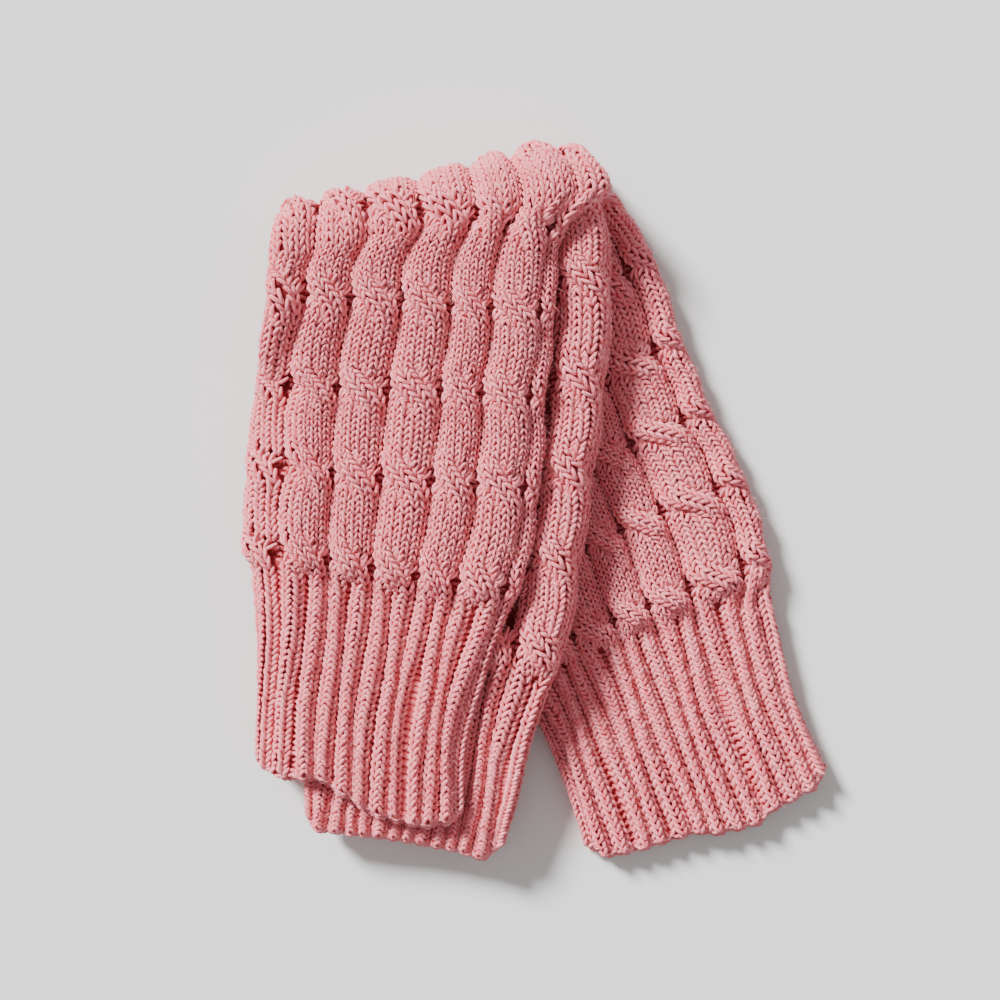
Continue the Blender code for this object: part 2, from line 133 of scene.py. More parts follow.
# %% [markdown]
# ## How high each layer lies
# From the table up there are the lower half of stocking 1 at the right, then the two layers of stocking 2,
# then the upper half of stocking 1. So the upper layers lie low at the left, where nothing of stocking 1 is
# under them, and climb to the right. At the far left the top layer drapes over stocking 2's edge.

# %% Heights of the layers
HALF = 3.3
GAP = 0.6
STACK_LOW_TOP, STACK_HIGH_TOP = 13.6, 21.1
STACK_HIGH_UNDER = 7.0
LOWER_LEAN = 1.10
RAMP_BEFORE_FOLD, RAMP_LENGTH = 40.0, 32.0
DRAPE_DEPTH, DRAPE_REACH, DRAPE_START = 11.6, 17.0, 1.6
DRAPE_BEFORE_FOLD, DRAPE_FADE = 48.0, 40.0
FOLD_RADIUS, FOLD_HEIGHT, FOLD_SLOPE = 10.85, 14.15, 0.2272
FOLD_LEFT = (-72.5, 74.5)
FOLD_NORMAL = math.hypot(1.0, FOLD_SLOPE)
OUT_OF_FOLD = np.array([-FOLD_SLOPE, 1.0]) / FOLD_NORMAL


def edge_at(stations, y, side):
    """The x of an edge where it passes y."""
    x_column, y_column = (2, 3) if side == "left" else (4, 5)
    order = np.argsort(stations[:, y_column])
    return np.interp(y, stations[order, y_column], stations[order, x_column])


def from_fold(x, y):
    """Distance past the fold's axis."""
    return (y - FOLD_LEFT[1] - FOLD_SLOPE * (x - FOLD_LEFT[0])) / FOLD_NORMAL


def stack_ramp(x, y, start, end):
    """0 where stocking 2 lies low, 1 where it has climbed onto the lower half or nears the fold."""
    inside_lower = (x - edge_at(LOWER, y, "left")) / LOWER_LEAN
    over_lower = ease((inside_lower - start) / (end - start))
    near_fold = ease((from_fold(x, y) + RAMP_BEFORE_FOLD) / RAMP_LENGTH)
    return 1.0 - (1.0 - over_lower) * (1.0 - near_fold)


def stack_top(x, y):
    """Top of stocking 2's stack."""
    return STACK_LOW_TOP + (STACK_HIGH_TOP - STACK_LOW_TOP) * stack_ramp(x, y, -34.0, 10.0)


def stack_under(x, y):
    """Underside of stocking 2's stack."""
    return STACK_HIGH_UNDER * stack_ramp(x, y, -17.0, -3.0)


def upper_height(x, y):
    """Middle of the upper half: on the stack, and draped down past its left edge."""
    past_left = edge_at(SECOND, y, "left") + DRAPE_START - x
    depth = DRAPE_DEPTH * (1.0 - ease((from_fold(x, y) + DRAPE_BEFORE_FOLD) / DRAPE_FADE))
    return stack_top(x, y) + GAP + HALF - depth * ease(past_left / DRAPE_REACH)


print("top of stocking 2 at left and right:", stack_top(-50.0, -60.0).round(1), stack_top(20.0, 30.0).round(1))

# %% [markdown]
# ## The middle surface of each stocking
# Every stitch is placed from its row and from its share of the tube's width. One function turns those two
# into a point on the surface halfway between the tube's two walls. Hems are not straight: a small table
# lets each one droop.

# %% Hems, folds and edges
Droop = namedtuple("Droop", "share past")
HEM_UPPER = np.array([Droop(0, -1.5), Droop(0.1, 0.9), Droop(0.33, -1.8), Droop(0.42, 1.2), Droop(0.62, 5.2),
                      Droop(0.82, 5.4), Droop(0.95, 2.4), Droop(1, -0.5)])
HEM_LOWER = np.array([Droop(0, -1.0), Droop(0.08, 3.6), Droop(0.22, 4.4), Droop(0.40, 4.6), Droop(0.52, 7.4),
                      Droop(0.66, 8.4), Droop(0.76, 5.4), Droop(0.92, 3.4), Droop(1, -1.0)])
HEM_SECOND = np.array([Droop(0, -0.8), Droop(0.06, 3.3), Droop(0.5, 1.8), Droop(0.72, 2.0), Droop(0.92, 3.0),
                       Droop(1, -1.5)])
HEM_REACH = 14.0
HEM_WAY = {"upper": np.array([-0.105, -0.994]), "lower": np.array([0.36, -0.933]),
           "second": np.array([-0.2, -0.98])}
HEM_ROW_LOWER = 229.0
CROSSING_1, CROSSING_2 = 37.0, 38.0
FOLD_PART = 10.0
TOP_T = len(UPPER) - 1.0
LAST_T = TOP_T + FOLD_PART + len(LOWER) - 1.0
SECOND_END = len(SECOND) - 1.0
END_ROUND, END_SPREAD = 7.05, 28.0
EDGE_SCALLOP = 1.5
EDGE_IN = 1.6
FLARE, FLARE_FROM, FLARE_SHARE, FLARE_WIDEN = 6.0, 7.4, 0.966, 0.045
FLARE_HELD = 0.35
CORNER_IN = 6.5
CUFF_ROWS, CUFF_BLEND, CROSS_EVERY = 32.0, 5.0, 14.0


def out_of_cuff(row, hem_row):
    """0 in a cuff, 1 where the cables are."""
    return ease((np.abs(row - hem_row) - CUFF_ROWS) / CUFF_BLEND)


def droop(table, rows_in, share):
    """How far a hem hangs past its straight line, in millimetres, fading out some rows in."""
    i = np.clip(np.searchsorted(table[:, 0], share) - 1, 0, len(table) - 2)
    t = (share - table[i, 0]) / (table[i + 1, 0] - table[i, 0])
    value = table[i, 1] + (table[i + 1, 1] - table[i, 1]) * ease(t)
    return value * (1.0 - ease(rows_in / HEM_REACH))


print("a hem's droop in mm:", droop(HEM_UPPER, 0.0, np.array([0.1, 0.5, 0.9])).round(1))


# %% Points in plan
def across_line(columns, share, row, first, hem_row, flare=None):
    """Point in plan on a station's line; its ends swell at each lobe, and its last cable where it flares."""
    flare = np.zeros(len(share)) if flare is None else flare
    left, right = columns[:, 2:4], columns[:, 4:6] + np.column_stack([FLARE * flare, np.zeros(len(share))])
    narrowed = np.where(share < FLARE_SHARE, share / FLARE_SHARE * (FLARE_SHARE - FLARE_WIDEN * flare),
                        1.0 - (1.0 - share) / (1.0 - FLARE_SHARE) * (1.0 - FLARE_SHARE + FLARE_WIDEN * flare))
    share = np.where(flare > 0.0, narrowed, share)
    unit = (right - left) / np.linalg.norm(right - left, axis=1)[:, None]
    body = out_of_cuff(row, hem_row)
    lobe = 0.5 - 0.5 * np.cos(2.0 * np.pi * (row - first) / CROSS_EVERY)
    out = (EDGE_SCALLOP * lobe * body - EDGE_IN)[:, None] * unit
    s = share[:, None]
    return (left - out) * (1.0 - s) + (right + out) * s


def row_of(columns, share):
    """The row of knitting at a share of a station's line."""
    return columns[:, 0] + (columns[:, 1] - columns[:, 0]) * share


def middle_first(t, share):
    """Stocking 1 at t: 0 to 8 upper half, 8 to 18 the fold, 18 to 27 lower half. Gives points and rows."""
    t, share = np.broadcast_arrays(np.asarray(t, float), np.asarray(share, float))
    point = np.zeros((len(t), 3))
    row = np.zeros(len(t))
    up, low = t <= TOP_T, t >= TOP_T + FOLD_PART
    turn = ~up & ~low
    if up.any():
        columns = along(UPPER, t[up])
        row[up] = row_of(columns, share[up])
        flare = ease((t[up] - FLARE_FROM) / (TOP_T - FLARE_FROM))
        xy = across_line(columns, share[up], row[up], CROSSING_1, 0.0, flare)
        xy = xy + HEM_WAY["upper"] * droop(HEM_UPPER, row[up], share[up])[:, None]
        point[up] = np.column_stack([xy, upper_height(xy[:, 0], xy[:, 1])])
    if turn.any():
        part = ((t[turn] - TOP_T) / FOLD_PART)[:, None]
        columns = UPPER[-1] * (1.0 - part) + LOWER[0] * part
        columns[:, 4] -= CORNER_IN * np.sin(np.pi * part[:, 0]) ** 2
        row[turn] = row_of(columns, share[turn])
        flare = 1.0 - ease((part[:, 0] - FLARE_HELD) / (1.0 - FLARE_HELD))
        xy = across_line(columns, share[turn], row[turn], CROSSING_1, 0.0, flare)
        angle = np.pi * part[:, 0]
        xy = xy + OUT_OF_FOLD * (FOLD_RADIUS * np.sin(angle))[:, None]
        point[turn] = np.column_stack([xy, FOLD_HEIGHT + FOLD_RADIUS * np.cos(angle)])
    if low.any():
        columns = along(LOWER, t[low] - TOP_T - FOLD_PART)
        row[low] = row_of(columns, share[low])
        xy = across_line(columns, share[low], row[low], CROSSING_1, HEM_ROW_LOWER)
        past = droop(HEM_LOWER, HEM_ROW_LOWER - row[low], share[low])
        xy = xy + HEM_WAY["lower"] * past[:, None]
        point[low] = np.column_stack([xy, np.full(len(xy), HALF)])
    return point, row


print("middle of stocking 1's fold:", middle_first([TOP_T + 5.0], [0.5])[0].round(1))


# %% Stocking 2, and finding a row
HALVINGS = 26


def middle_second(t, share):
    """Middle of the upper panel of stocking 2, and its rows."""
    t, share = np.broadcast_arrays(np.asarray(t, float), np.asarray(share, float))
    columns = along(SECOND, t)
    row = row_of(columns, share)
    xy = across_line(columns, share, row, CROSSING_2, 0.0)
    xy = xy + HEM_WAY["second"] * droop(HEM_SECOND, row, share)[:, None]
    past = np.clip(t - SECOND_END, 0.0, 1.0) * END_SPREAD
    end_drop = END_ROUND - np.sqrt(np.maximum(END_ROUND ** 2 - past ** 2, 0.0))
    return np.column_stack([xy, stack_top(xy[:, 0], xy[:, 1]) - HALF - end_drop]), row


def find_t(middle, low, high, row, share):
    """The t at which a stocking has a row, found by halving."""
    low = np.full(len(row), float(low))
    high = np.full(len(row), float(high))
    for _ in range(HALVINGS):
        half = (low + high) / 2.0
        below = middle(half, share)[1] < row
        low = np.where(below, half, low)
        high = np.where(below, high, half)
    return (low + high) / 2.0


test_t = find_t(middle_first, 0, LAST_T, np.array([10.0, 93.0, 200.0]), np.array([0.5, 0.5, 0.5]))
print("rows 10, 93 and 200 of stocking 1 are at t", test_t.round(2))

# %% [markdown]
# ## From the middle surface to the wall
# A wall lies half a tube's thickness off the middle surface and rounds over at the edges. A stitch can also
# sit a little higher, where a cable swells. Past the edge, a share under 0 or over 1 runs on round the
# side.

# %% A wall's points
ROUND = 4.4
KNIT_ROUND = 7.0
EDGE_ARC = KNIT_ROUND * math.pi / 2.0 - ROUND
USUAL_WIDTH = 90.0
ACROSS_STEP, ALONG_STEP = 0.02, 0.04


def unit_rows(v):
    """Each row as a vector of length 1."""
    return v / np.maximum(np.linalg.norm(v, axis=1), 1e-9)[:, None]


def in_plan(share, width=USUAL_WIDTH):
    """Share of the flat width at a share of the wall's length, and the way along the wall from the edge."""
    near = np.minimum(share, 1.0 - share) * (width + 2.0 * EDGE_ARC)
    turned = np.clip(near / KNIT_ROUND, 0.0, math.pi / 2.0)
    inset = ROUND * (1.0 - np.cos(turned)) + np.maximum(near - KNIT_ROUND * math.pi / 2.0, 0.0)
    return np.where(share < 0.5, inset, width - inset) / width, near


def along_wall(share, width=USUAL_WIDTH):
    """Share of the wall's length at a share of the flat width."""
    inset = np.minimum(share, 1.0 - share) * width
    turned = KNIT_ROUND * np.arccos(np.clip(1.0 - inset / ROUND, 0.0, 1.0))
    near = np.where(inset < 0.0, inset, turned + np.maximum(inset - ROUND, 0.0)) / (width + 2.0 * EDGE_ARC)
    return np.where(share < 0.5, near, 1.0 - near)


def wall(middle, t, share, lift, side):
    """Points on a wall: side 1 is the outside that shows on top, -1 the other side."""
    ends = [middle(t, np.full(len(t), end))[0] for end in (0.0, 1.0)]
    inside, near = in_plan(share, np.linalg.norm(ends[1] - ends[0], axis=1))
    a = middle(t, np.clip(inside - ACROSS_STEP, 0.0, 1.0))[0]
    b = middle(t, np.clip(inside + ACROSS_STEP, 0.0, 1.0))[0]
    ahead = middle(t + ALONG_STEP, inside)[0] - middle(t - ALONG_STEP, inside)[0]
    across = unit_rows(b - a)
    normal = unit_rows(np.cross(b - a, ahead)) * side
    lean = np.where(share < 0.5, -1.0, 1.0)
    angle = np.maximum(np.pi / 2.0 - near / KNIT_ROUND, 0.0)
    edge_pull = np.where(near < 0.0, ROUND * (np.sin(angle) - 1.0), 0.0)
    sideways = (edge_pull + np.sin(angle) * lift) * lean
    outward = np.cos(angle) * (HALF + lift)
    return middle(t, inside)[0] + across * sideways[:, None] + normal * outward[:, None]


sample = wall(middle_first, np.array([3.0]), np.array([0.5]), np.array([0.0]), 1.0)
print("a point on the outer wall", sample.round(1))

# %% [markdown]
# ## How a rope cable moves
# A cable has six columns of knit stitches. Every 14 rows its left three cross in front of its right three,
# from upper left to lower right. Each group of three is a strand with a centre line; its columns keep their
# distance from that line, square to it, so they bunch as they do in the wool. The front strand rises over
# the crossing and the back strand sinks behind it. In the cuffs the middle two columns turn to purl and
# sink, and the outer pairs close up into ribs.

# %% The cable's numbers
WALE = 0.150
CROSS_HALF = 3.6
BACK_HALF = 2.1
CABLE_RISE = 3.9
BULGE = 1.15
RIB_RISE = 2.2
ROW = 1.94
RIB_SLOTS = np.array((-1.0, 0.0, 1.0, 1.5, 3.5, 4.0, 5.0, 6.0))
RIB_PLACES = np.array((-0.09, 0.13, 0.35, 0.46, 0.54, 0.65, 0.87, 1.09))
GUTTERS_UPPER = np.concatenate([
    [-0.150, 0.004], along_wall(np.array([0.125, 0.290, 0.471, 0.652, 0.800, 0.966])), [1.06]])
GUTTERS_LOWER = np.concatenate([[0.006], along_wall(np.array([0.10, 0.25, 0.41, 0.55, 0.71, 0.875])),
                                [0.975, 1.12]])
GUTTERS_SECOND = np.concatenate([[-0.105, 0.04], along_wall(np.array([0.14, 0.28, 0.42, 0.56, 0.70, 0.845])),
                                 [0.966, 1.095]])
GUTTERS = {"upper": GUTTERS_UPPER, "lower": GUTTERS_LOWER, "second": GUTTERS_SECOND}
PAST_EDGE_MM = 8.0
SIDE_RISE = 0.40
BOLD = {"upper": 1.22, "lower": 1.38, "second": 1.25}
FRONT_SPREAD, BACK_SPREAD = 0.24, -0.06
DOME_POWER = 0.62
OVER_MIDDLE, OVER_SIDES, OVER_REACH = 1.26, 0.34, 1.05
COVER_NEAR, COVER_FADE, COVER_ROWS, COVERED_RISE = 0.9, 1.1, 4.2, 0.6
print("gutters of the upper half:", GUTTERS_UPPER.round(2))

# %% Ribs of the cuffs
OpenBand = namedtuple("OpenBand", "share push")
OPEN_BANDS = {"upper": (OpenBand(0.725, 0.017), OpenBand(0.945, 0.014)),
              "lower": (OpenBand(0.245, 0.006), OpenBand(0.705, 0.014), OpenBand(0.955, 0.016)),
              "second": (OpenBand(0.915, 0.012),)}
BAND_REACH = 0.035
OPEN_ROWS, OPEN_BLEND = 17.0, 11.0
PUSH_STEEP, PUSH_FADE = 2.5, 2.2
RIB_SWAY, SWAY_BY_ROW, SWAY_BY_SHARE = 0.0055, 0.17, 31.0
UNDO_STEPS = 8


def in_groove(name, share):
    """The groove between two ribs that lies nearest."""
    gutters = GUTTERS[name]
    grooves = np.concatenate([gutters, (gutters[1:] + gutters[:-1]) / 2.0])
    return grooves[np.argmin(np.abs(grooves - share))]


for name, bands in OPEN_BANDS.items():
    OPEN_BANDS[name] = [OpenBand(in_groove(name, band.share), band.push) for band in bands]
WARP_FROM = np.concatenate([along_wall(np.array([0.71, 0.875])), [0.985]])
WARP_TO = np.concatenate([along_wall(np.array([0.71, 0.925])), [1.045]])


def widened(name, share, body):
    """In the lower half the last whole cable is wider than its ribs and pushes its neighbour round."""
    if name != "lower":
        return share
    past = np.maximum(share - WARP_FROM[-1], 0.0)
    moved = np.interp(share, WARP_FROM, WARP_TO, left=0.0) + past
    return np.where(share > WARP_FROM[0], share + body * (moved - share), share)


def narrowed_back(share, body):
    """The other way round, from where the lower half's columns lie to their ribs."""
    past = np.maximum(share - WARP_TO[-1], 0.0)
    moved = np.interp(share, WARP_TO, WARP_FROM, left=0.0) + past
    return np.where(share > WARP_TO[0], share + body * (moved - share), share)


def push_apart(name, share):
    """How far the ribs of a cuff are pushed sideways by its open bands of purl."""
    shift = np.zeros_like(share)
    for band in OPEN_BANDS[name]:
        away = (share - band.share) / BAND_REACH
        shift += band.push * np.tanh(away * PUSH_STEEP) * np.exp(-(away / PUSH_FADE) ** 2)
    return shift


def opened(stretch, row):
    """1 in the part of a cuff where its bands of purl open, 0 from some rows below its top."""
    return 1.0 - ease((np.abs(row - stretch.hem) - OPEN_ROWS) / OPEN_BLEND)


def wander(share, row, body):
    """Ribs are not ruled lines: they sway a little from side to side."""
    return (1.0 - body) * RIB_SWAY * np.sin(SWAY_BY_ROW * row + SWAY_BY_SHARE * share)


def in_cuff(stretch, share, row, body):
    """Share of a column once the cuff's ribs have been pushed apart and sway."""
    return share + opened(stretch, row) * push_apart(stretch.name, share) + wander(share, row, body)


def before_cuff(stretch, share, row, body):
    """The other way round, found step by step."""
    start = share
    for _ in range(UNDO_STEPS):
        start = start - 0.5 * (in_cuff(stretch, start, row, body) - share)
    return start


print("open bands of the upper cuff:", [round(float(band.share), 2) for band in OPEN_BANDS["upper"]])


# %% Columns of a cable
def past_edge(share):
    """1 on top, less at the sides, fading to 0 where knitting has turned under the edge."""
    near = np.minimum(share, 1.0 - share) * (USUAL_WIDTH + 2.0 * EDGE_ARC)
    at_side = SIDE_RISE + (1.0 - SIDE_RISE) * ease(near / (KNIT_ROUND * math.pi / 2.0))
    return at_side * (1.0 - ease(-near / PAST_EDGE_MM))


def column_place(strand, lane, phase, body, pitch_mm, slant):
    """Place across the cable (0 to 1), rows ahead, and rise, for columns of strand 0 (left) or 1 (right)."""
    front = strand == (0 if slant > 0 else 1)
    half = np.where(front, CROSS_HALF, BACK_HALF)
    step = np.clip((phase / half + 1.0) / 2.0, 0.0, 1.0)
    start = (strand - 0.5) * 3.0 * WALE
    line = 0.5 + start * (1.0 - 2.0 * ease(step))
    dx = -start * 12.0 * step * (1.0 - step) / (2.0 * half) * pitch_mm
    length = np.hypot(dx, ROW)
    bunch = 1.0 + np.where(front, FRONT_SPREAD, BACK_SPREAD) * np.exp(-(phase / half) ** 2)
    flat = line + lane * WALE * bunch * ROW / length
    ahead = -lane * WALE * bunch * pitch_mm * dx / length / ROW
    across = 0.5 + 0.5 * np.sin(BULGE * 2.0 * (flat - 0.5)) / math.sin(BULGE)
    off = np.clip(np.abs(across - 0.5) / 0.5, 0.0, 1.0)
    dome = CABLE_RISE * (1.0 - off ** 2.0) ** DOME_POWER
    over = CABLE_RISE * (OVER_MIDDLE - OVER_SIDES * lane ** 2)
    over_here = np.exp(-(phase / (CROSS_HALF * OVER_REACH)) ** 2)
    front_start = np.where(front, start, -start)
    front_line = 0.5 + front_start * (1.0 - 2.0 * ease((phase / CROSS_HALF + 1.0) / 2.0))
    apart = np.abs(flat - front_line) / WALE
    covered = (1.0 - ease((apart - COVER_NEAR) / COVER_FADE)) * np.exp(-(phase / COVER_ROWS) ** 4)
    rise = np.where(front, dome + (over - dome) * over_here, dome + (COVERED_RISE - dome) * covered)
    slot = (line - 0.5) / WALE + lane + 2.5
    rib = np.interp(slot, RIB_SLOTS, RIB_PLACES)
    rib_rise = RIB_RISE * (0.5 - 0.5 * np.cos(4.0 * np.pi * np.clip(rib, 0.0, 1.0)))
    return across * body + rib * (1.0 - body), ahead * body, rise * body + rib_rise * (1.0 - body)


rest = [column_place(np.array(k // 3), k % 3 - 1.0, np.array(-7.0), 1.0, 15.9, 1)[0] for k in range(6)]
print("columns of a cable at rest:", np.round(rest, 2))

# %% [markdown]
# ## Which stitches there are
# Each stretch of a stocking gets a list of its knit stitches: the cable it is in, its strand and lane, and
# its row. Stitches that another layer covers are left out. A stitch's own axes come from the points half a
# row before and behind it and a third of a column to each side, so that it leans and tips with its cable.

# %% The stretches, and what shows of them
FLAT_WIDTH = 92.0
FOLD_KNITTED, END_KNITTED = 8.6, 0.24
UNDER_EDGE, UNDER_HEM = 1.5, 5.0
HEM_START, HEM_RUN = (-80.5, -83.8), (71.0, -15.5)
ROPE_SINK, ROPE_WIDE, ROPE_EDGE = 4.5, 15.8, 0.02
ROPE_FROM_ROW, ROPE_ROWS = 34.0, 8.0
BARE_ABOVE = -42.0
LAST_CROSSING = {"upper": 5.0, "lower": 11.0, "second": 5.0}
Stretch = namedtuple("Stretch", "name middle t_low t_high gutters first slant side row_low row_high hem width")
STRETCHES = [
    Stretch("upper", middle_first, 0.0, TOP_T + FOLD_KNITTED, GUTTERS_UPPER, CROSSING_1, -1, 1.0,
            0, 117, 0.0, FLAT_WIDTH),
    Stretch("lower", middle_first, TOP_T + FOLD_PART, LAST_T, GUTTERS_LOWER, CROSSING_1, 1, -1.0,
            104, 229, HEM_ROW_LOWER, FLAT_WIDTH),
    Stretch("second", middle_second, 0.0, SECOND_END + END_KNITTED, GUTTERS_SECOND, CROSSING_2, -1, 1.0,
            0, 113, 0.0, FLAT_WIDTH),
]


def upper_hem_at(x):
    """The y of the upper cuff's hem at x."""
    share = np.clip((x - HEM_START[0]) / HEM_RUN[0], 0.0, 1.0)
    return HEM_START[1] + HEM_RUN[1] * share - droop(HEM_UPPER, np.zeros(len(x)), share)


def shows(stretch, point):
    """Whether a stitch is not under another layer; beside stocking 1's edge stocking 2 keeps only its rope, so
    its deep cloth shows there as painted shade.
    """
    x, y = point[:, 0], point[:, 1]
    if stretch.name == "lower":
        return x > edge_at(SECOND, y, "right") - UNDER_EDGE
    if stretch.name == "second":
        beside = edge_at(UPPER, y, "right") - UNDER_EDGE
        # Above BARE_ABOVE the stitches between the rope and stocking 1's edge are left out, baring the deep
        # cloth as painted shade.
        rope_left = edge_at(SECOND, y, "right") - ROPE_WIDE
        return (x > np.where(y > BARE_ABOVE, rope_left, beside)) | (y < upper_hem_at(x) + UNDER_HEM)
    return np.ones(len(x), bool)


def crossing_of(stretch, row):
    """Row of the crossing that a row of knitting belongs to."""
    crossings = np.clip(np.round((row - stretch.first) / CROSS_EVERY), 0.0, LAST_CROSSING[stretch.name])
    return stretch.first + CROSS_EVERY * crossings


def beside_rope(name, share, row):
    """How far stocking 2 sinks where it goes under the edge of stocking 1, past the cuff."""
    if name != "second":
        return 0.0
    inward = 1.0 - ease((share - GUTTERS_SECOND[-3]) / ROPE_EDGE + 1.0)
    return ROPE_SINK * inward * ease((row - ROPE_FROM_ROW) / ROPE_ROWS)


print("upper hem at x -45:", upper_hem_at(np.array([-45.0])).round(1))

# %% Place the stitches
LANE_STEP = 0.35
HEIGHT_LIMITS, WIDTH_LIMITS = (1.3, 3.3), (1.6, 4.2)
T_MARGIN, LOWEST_STITCH, RIB_FROM = 1e-4, 0.9, 0.3
Placed = namedtuple("Placed", "centre across along normal wide height row")


def stitch_points(stretch, cable, strand, lane, row, crossing):
    """Points on the wall for columns at rows, with their t and how far they are out of the cuff."""
    phase = row - crossing
    body = out_of_cuff(row, stretch.hem)
    left, right = stretch.gutters[cable], stretch.gutters[cable + 1]
    pitch = right - left
    across, ahead, rise = column_place(strand, lane, phase, body, pitch * stretch.width, stretch.slant)
    share = left + pitch * across
    share = widened(stretch.name, in_cuff(stretch, share, row, body), body)
    t = find_t(stretch.middle, stretch.t_low, stretch.t_high, row + ahead, in_plan(share)[0])
    lift = BOLD[stretch.name] * rise * past_edge(share) - beside_rope(stretch.name, share, row)
    return wall(stretch.middle, t, share, lift, stretch.side), t, body


def in_stretch(stretch, t, centre):
    """Whether stitches lie between a stretch's ends, show, and are clear of the floor."""
    between = (t > stretch.t_low + T_MARGIN) & (t < stretch.t_high - T_MARGIN)
    return between & shows(stretch, centre) & (centre[:, 2] > LOWEST_STITCH)


def list_stitches(stretch):
    """Cable, strand, lane and row of every knit stitch of a stretch."""
    cables = len(stretch.gutters) - 1
    rows = np.arange(stretch.row_low, stretch.row_high) + 0.5
    cable, slot, row = (a.ravel() for a in np.meshgrid(np.arange(cables), np.arange(6), rows, indexing="ij"))
    return cable, slot // 3, slot % 3 - 1.0, row


def axes_from(ahead, sideways, side):
    """A stitch's axes across, along and out of the cloth."""
    along_axis = unit_rows(ahead)
    normal = unit_rows(np.cross(unit_rows(sideways), along_axis)) * side
    return unit_rows(np.cross(along_axis, normal)) * side, along_axis, normal


def place_stitches(stretch):
    """Centres and axes of the knit stitches that show."""
    cable, strand, lane, row = list_stitches(stretch)
    crossing = crossing_of(stretch, row)
    centre, t, body = stitch_points(stretch, cable, strand, lane, row, crossing)
    swapped = np.where(row > crossing, 1 - strand, strand)
    outer = np.abs(swapped * 3 + lane + 1 - 2.5) > 1.0
    keep = in_stretch(stretch, t, centre) & (outer | (body > RIB_FROM))
    cable, strand, lane, row = cable[keep], strand[keep], lane[keep], row[keep]
    centre, crossing = centre[keep], crossing[keep]
    up = stitch_points(stretch, cable, strand, lane, row + 0.5, crossing)[0]
    down = stitch_points(stretch, cable, strand, lane, row - 0.5, crossing)[0]
    right = stitch_points(stretch, cable, strand, lane + LANE_STEP, row, crossing)[0]
    left = stitch_points(stretch, cable, strand, lane - LANE_STEP, row, crossing)[0]
    axes = axes_from(up - down, right - left, stretch.side)
    height = np.clip(np.linalg.norm(up - down, axis=1), *HEIGHT_LIMITS)
    wide = np.clip(np.linalg.norm(right - left, axis=1) / (2.0 * LANE_STEP), *WIDTH_LIMITS)
    return Placed(centre, *axes, wide, height, row)


placed = {s.name: place_stitches(s) for s in STRETCHES}
for name, data in placed.items():
    print(name, len(data.row), "stitches; mean width and height", data.wide.mean().round(2),
          data.height.mean().round(2))

# %% [markdown]
# ## A stitch is two legs
# In plain knitting each stitch reads as a V. Its two legs start close together, rise over the stitch below
# and spread to the top, where the next V nests between them. A leg is the upper part of a thin tube, four
# rings of five points: enough at this size, and the hidden half of the yarn costs nothing. All the stitches
# of a stretch are made at once from arrays and joined in one mesh.

# %% Yarn from arrays
LEG_PATH = np.array([(0.10, -1.32, -0.85), (0.34, -0.52, 0.12), (0.66, 0.42, 0.22), (0.84, 1.28, -0.60)])
LEG_RADIUS = np.array([0.34, 0.43, 0.45, 0.36])
ROUND_LEG = np.radians([-104.0, -52.0, 0.0, 52.0, 104.0])
RING = len(ROUND_LEG)
USUAL_STITCH, TALL_SHARE, THICK_LIMITS = 2.45, 0.9, (0.85, 1.6)
SWAY, SWAY_LIMIT = 1.45, 2.2
SWAY_ACROSS, SWAY_ALONG, SWAY_OUT, SWAY_TWIST = 0.07, 0.07, 0.08, 0.06
ABOVE_FLOOR = 0.05


def yarn_mesh(name, data, path, radius, seed, mirrored=True):
    """One mesh with the same piece of yarn, and its mirror image if wanted, at every place."""
    centre, across, along_axis, normal, wide, height = data[:6]
    count, steps = len(centre), len(path)
    wobble = np.random.default_rng(seed).normal(0.0, SWAY, (count, 4)).clip(-SWAY_LIMIT, SWAY_LIMIT)
    half_wide, half_high = (wide / 2.0)[:, None], (height / 2.0)[:, None]
    quads = np.array([(i * RING + j, i * RING + j + 1, (i + 1) * RING + j + 1, (i + 1) * RING + j)
                      for i in range(steps - 1) for j in range(RING - 1)])
    along_uv, round_uv = np.meshgrid(np.linspace(0.0, 1.0, steps), np.linspace(0.0, 1.0, RING), indexing="ij")
    size = np.clip(np.maximum(wide / USUAL_STITCH, TALL_SHARE * height / ROW), *THICK_LIMITS)
    thick = radius[None, :, None, None] * size[:, None, None, None]
    sine, cosine = (wave(ROUND_LEG)[None, None, :, None] for wave in (np.sin, np.cos))
    verts, faces, uvs = [], [], []
    for k, mirror in enumerate((-1.0, 1.0) if mirrored else (1.0,)):
        px = mirror * path[:, 0][None, :] * half_wide * (1.0 + SWAY_ACROSS * wobble[:, :1])
        py = path[:, 1][None, :] * half_high + SWAY_ALONG * wobble[:, 1:2]
        pz = path[:, 2][None, :] + SWAY_OUT * wobble[:, 2:3] + SWAY_TWIST * mirror * wobble[:, 3:4]
        points = (centre[:, None, :] + px[..., None] * across[:, None, :]
                  + py[..., None] * along_axis[:, None, :] + pz[..., None] * normal[:, None, :])
        tangent = np.gradient(points, axis=1)
        tangent /= np.linalg.norm(tangent, axis=2)[..., None]
        side = np.cross(tangent, normal[:, None, :])
        side /= np.linalg.norm(side, axis=2)[..., None]
        up = np.cross(side, tangent)
        ring = points[:, :, None, :] + thick * (sine * side[:, :, None, :] + cosine * up[:, :, None, :])
        verts.append(ring.reshape(-1, 3))
        start = steps * RING * (k * count + np.arange(count))
        faces.append((start[:, None, None] + quads[None]).reshape(-1, 4))
        uvs.append(np.tile(np.column_stack([along_uv.ravel(), round_uv.ravel()]), (count, 1)))
    verts = np.vstack(verts)
    verts[:, 2] = np.maximum(verts[:, 2], ABOVE_FLOOR)
    return grid_mesh(name, verts - PART_MIDDLE, np.vstack(faces), np.vstack(uvs))


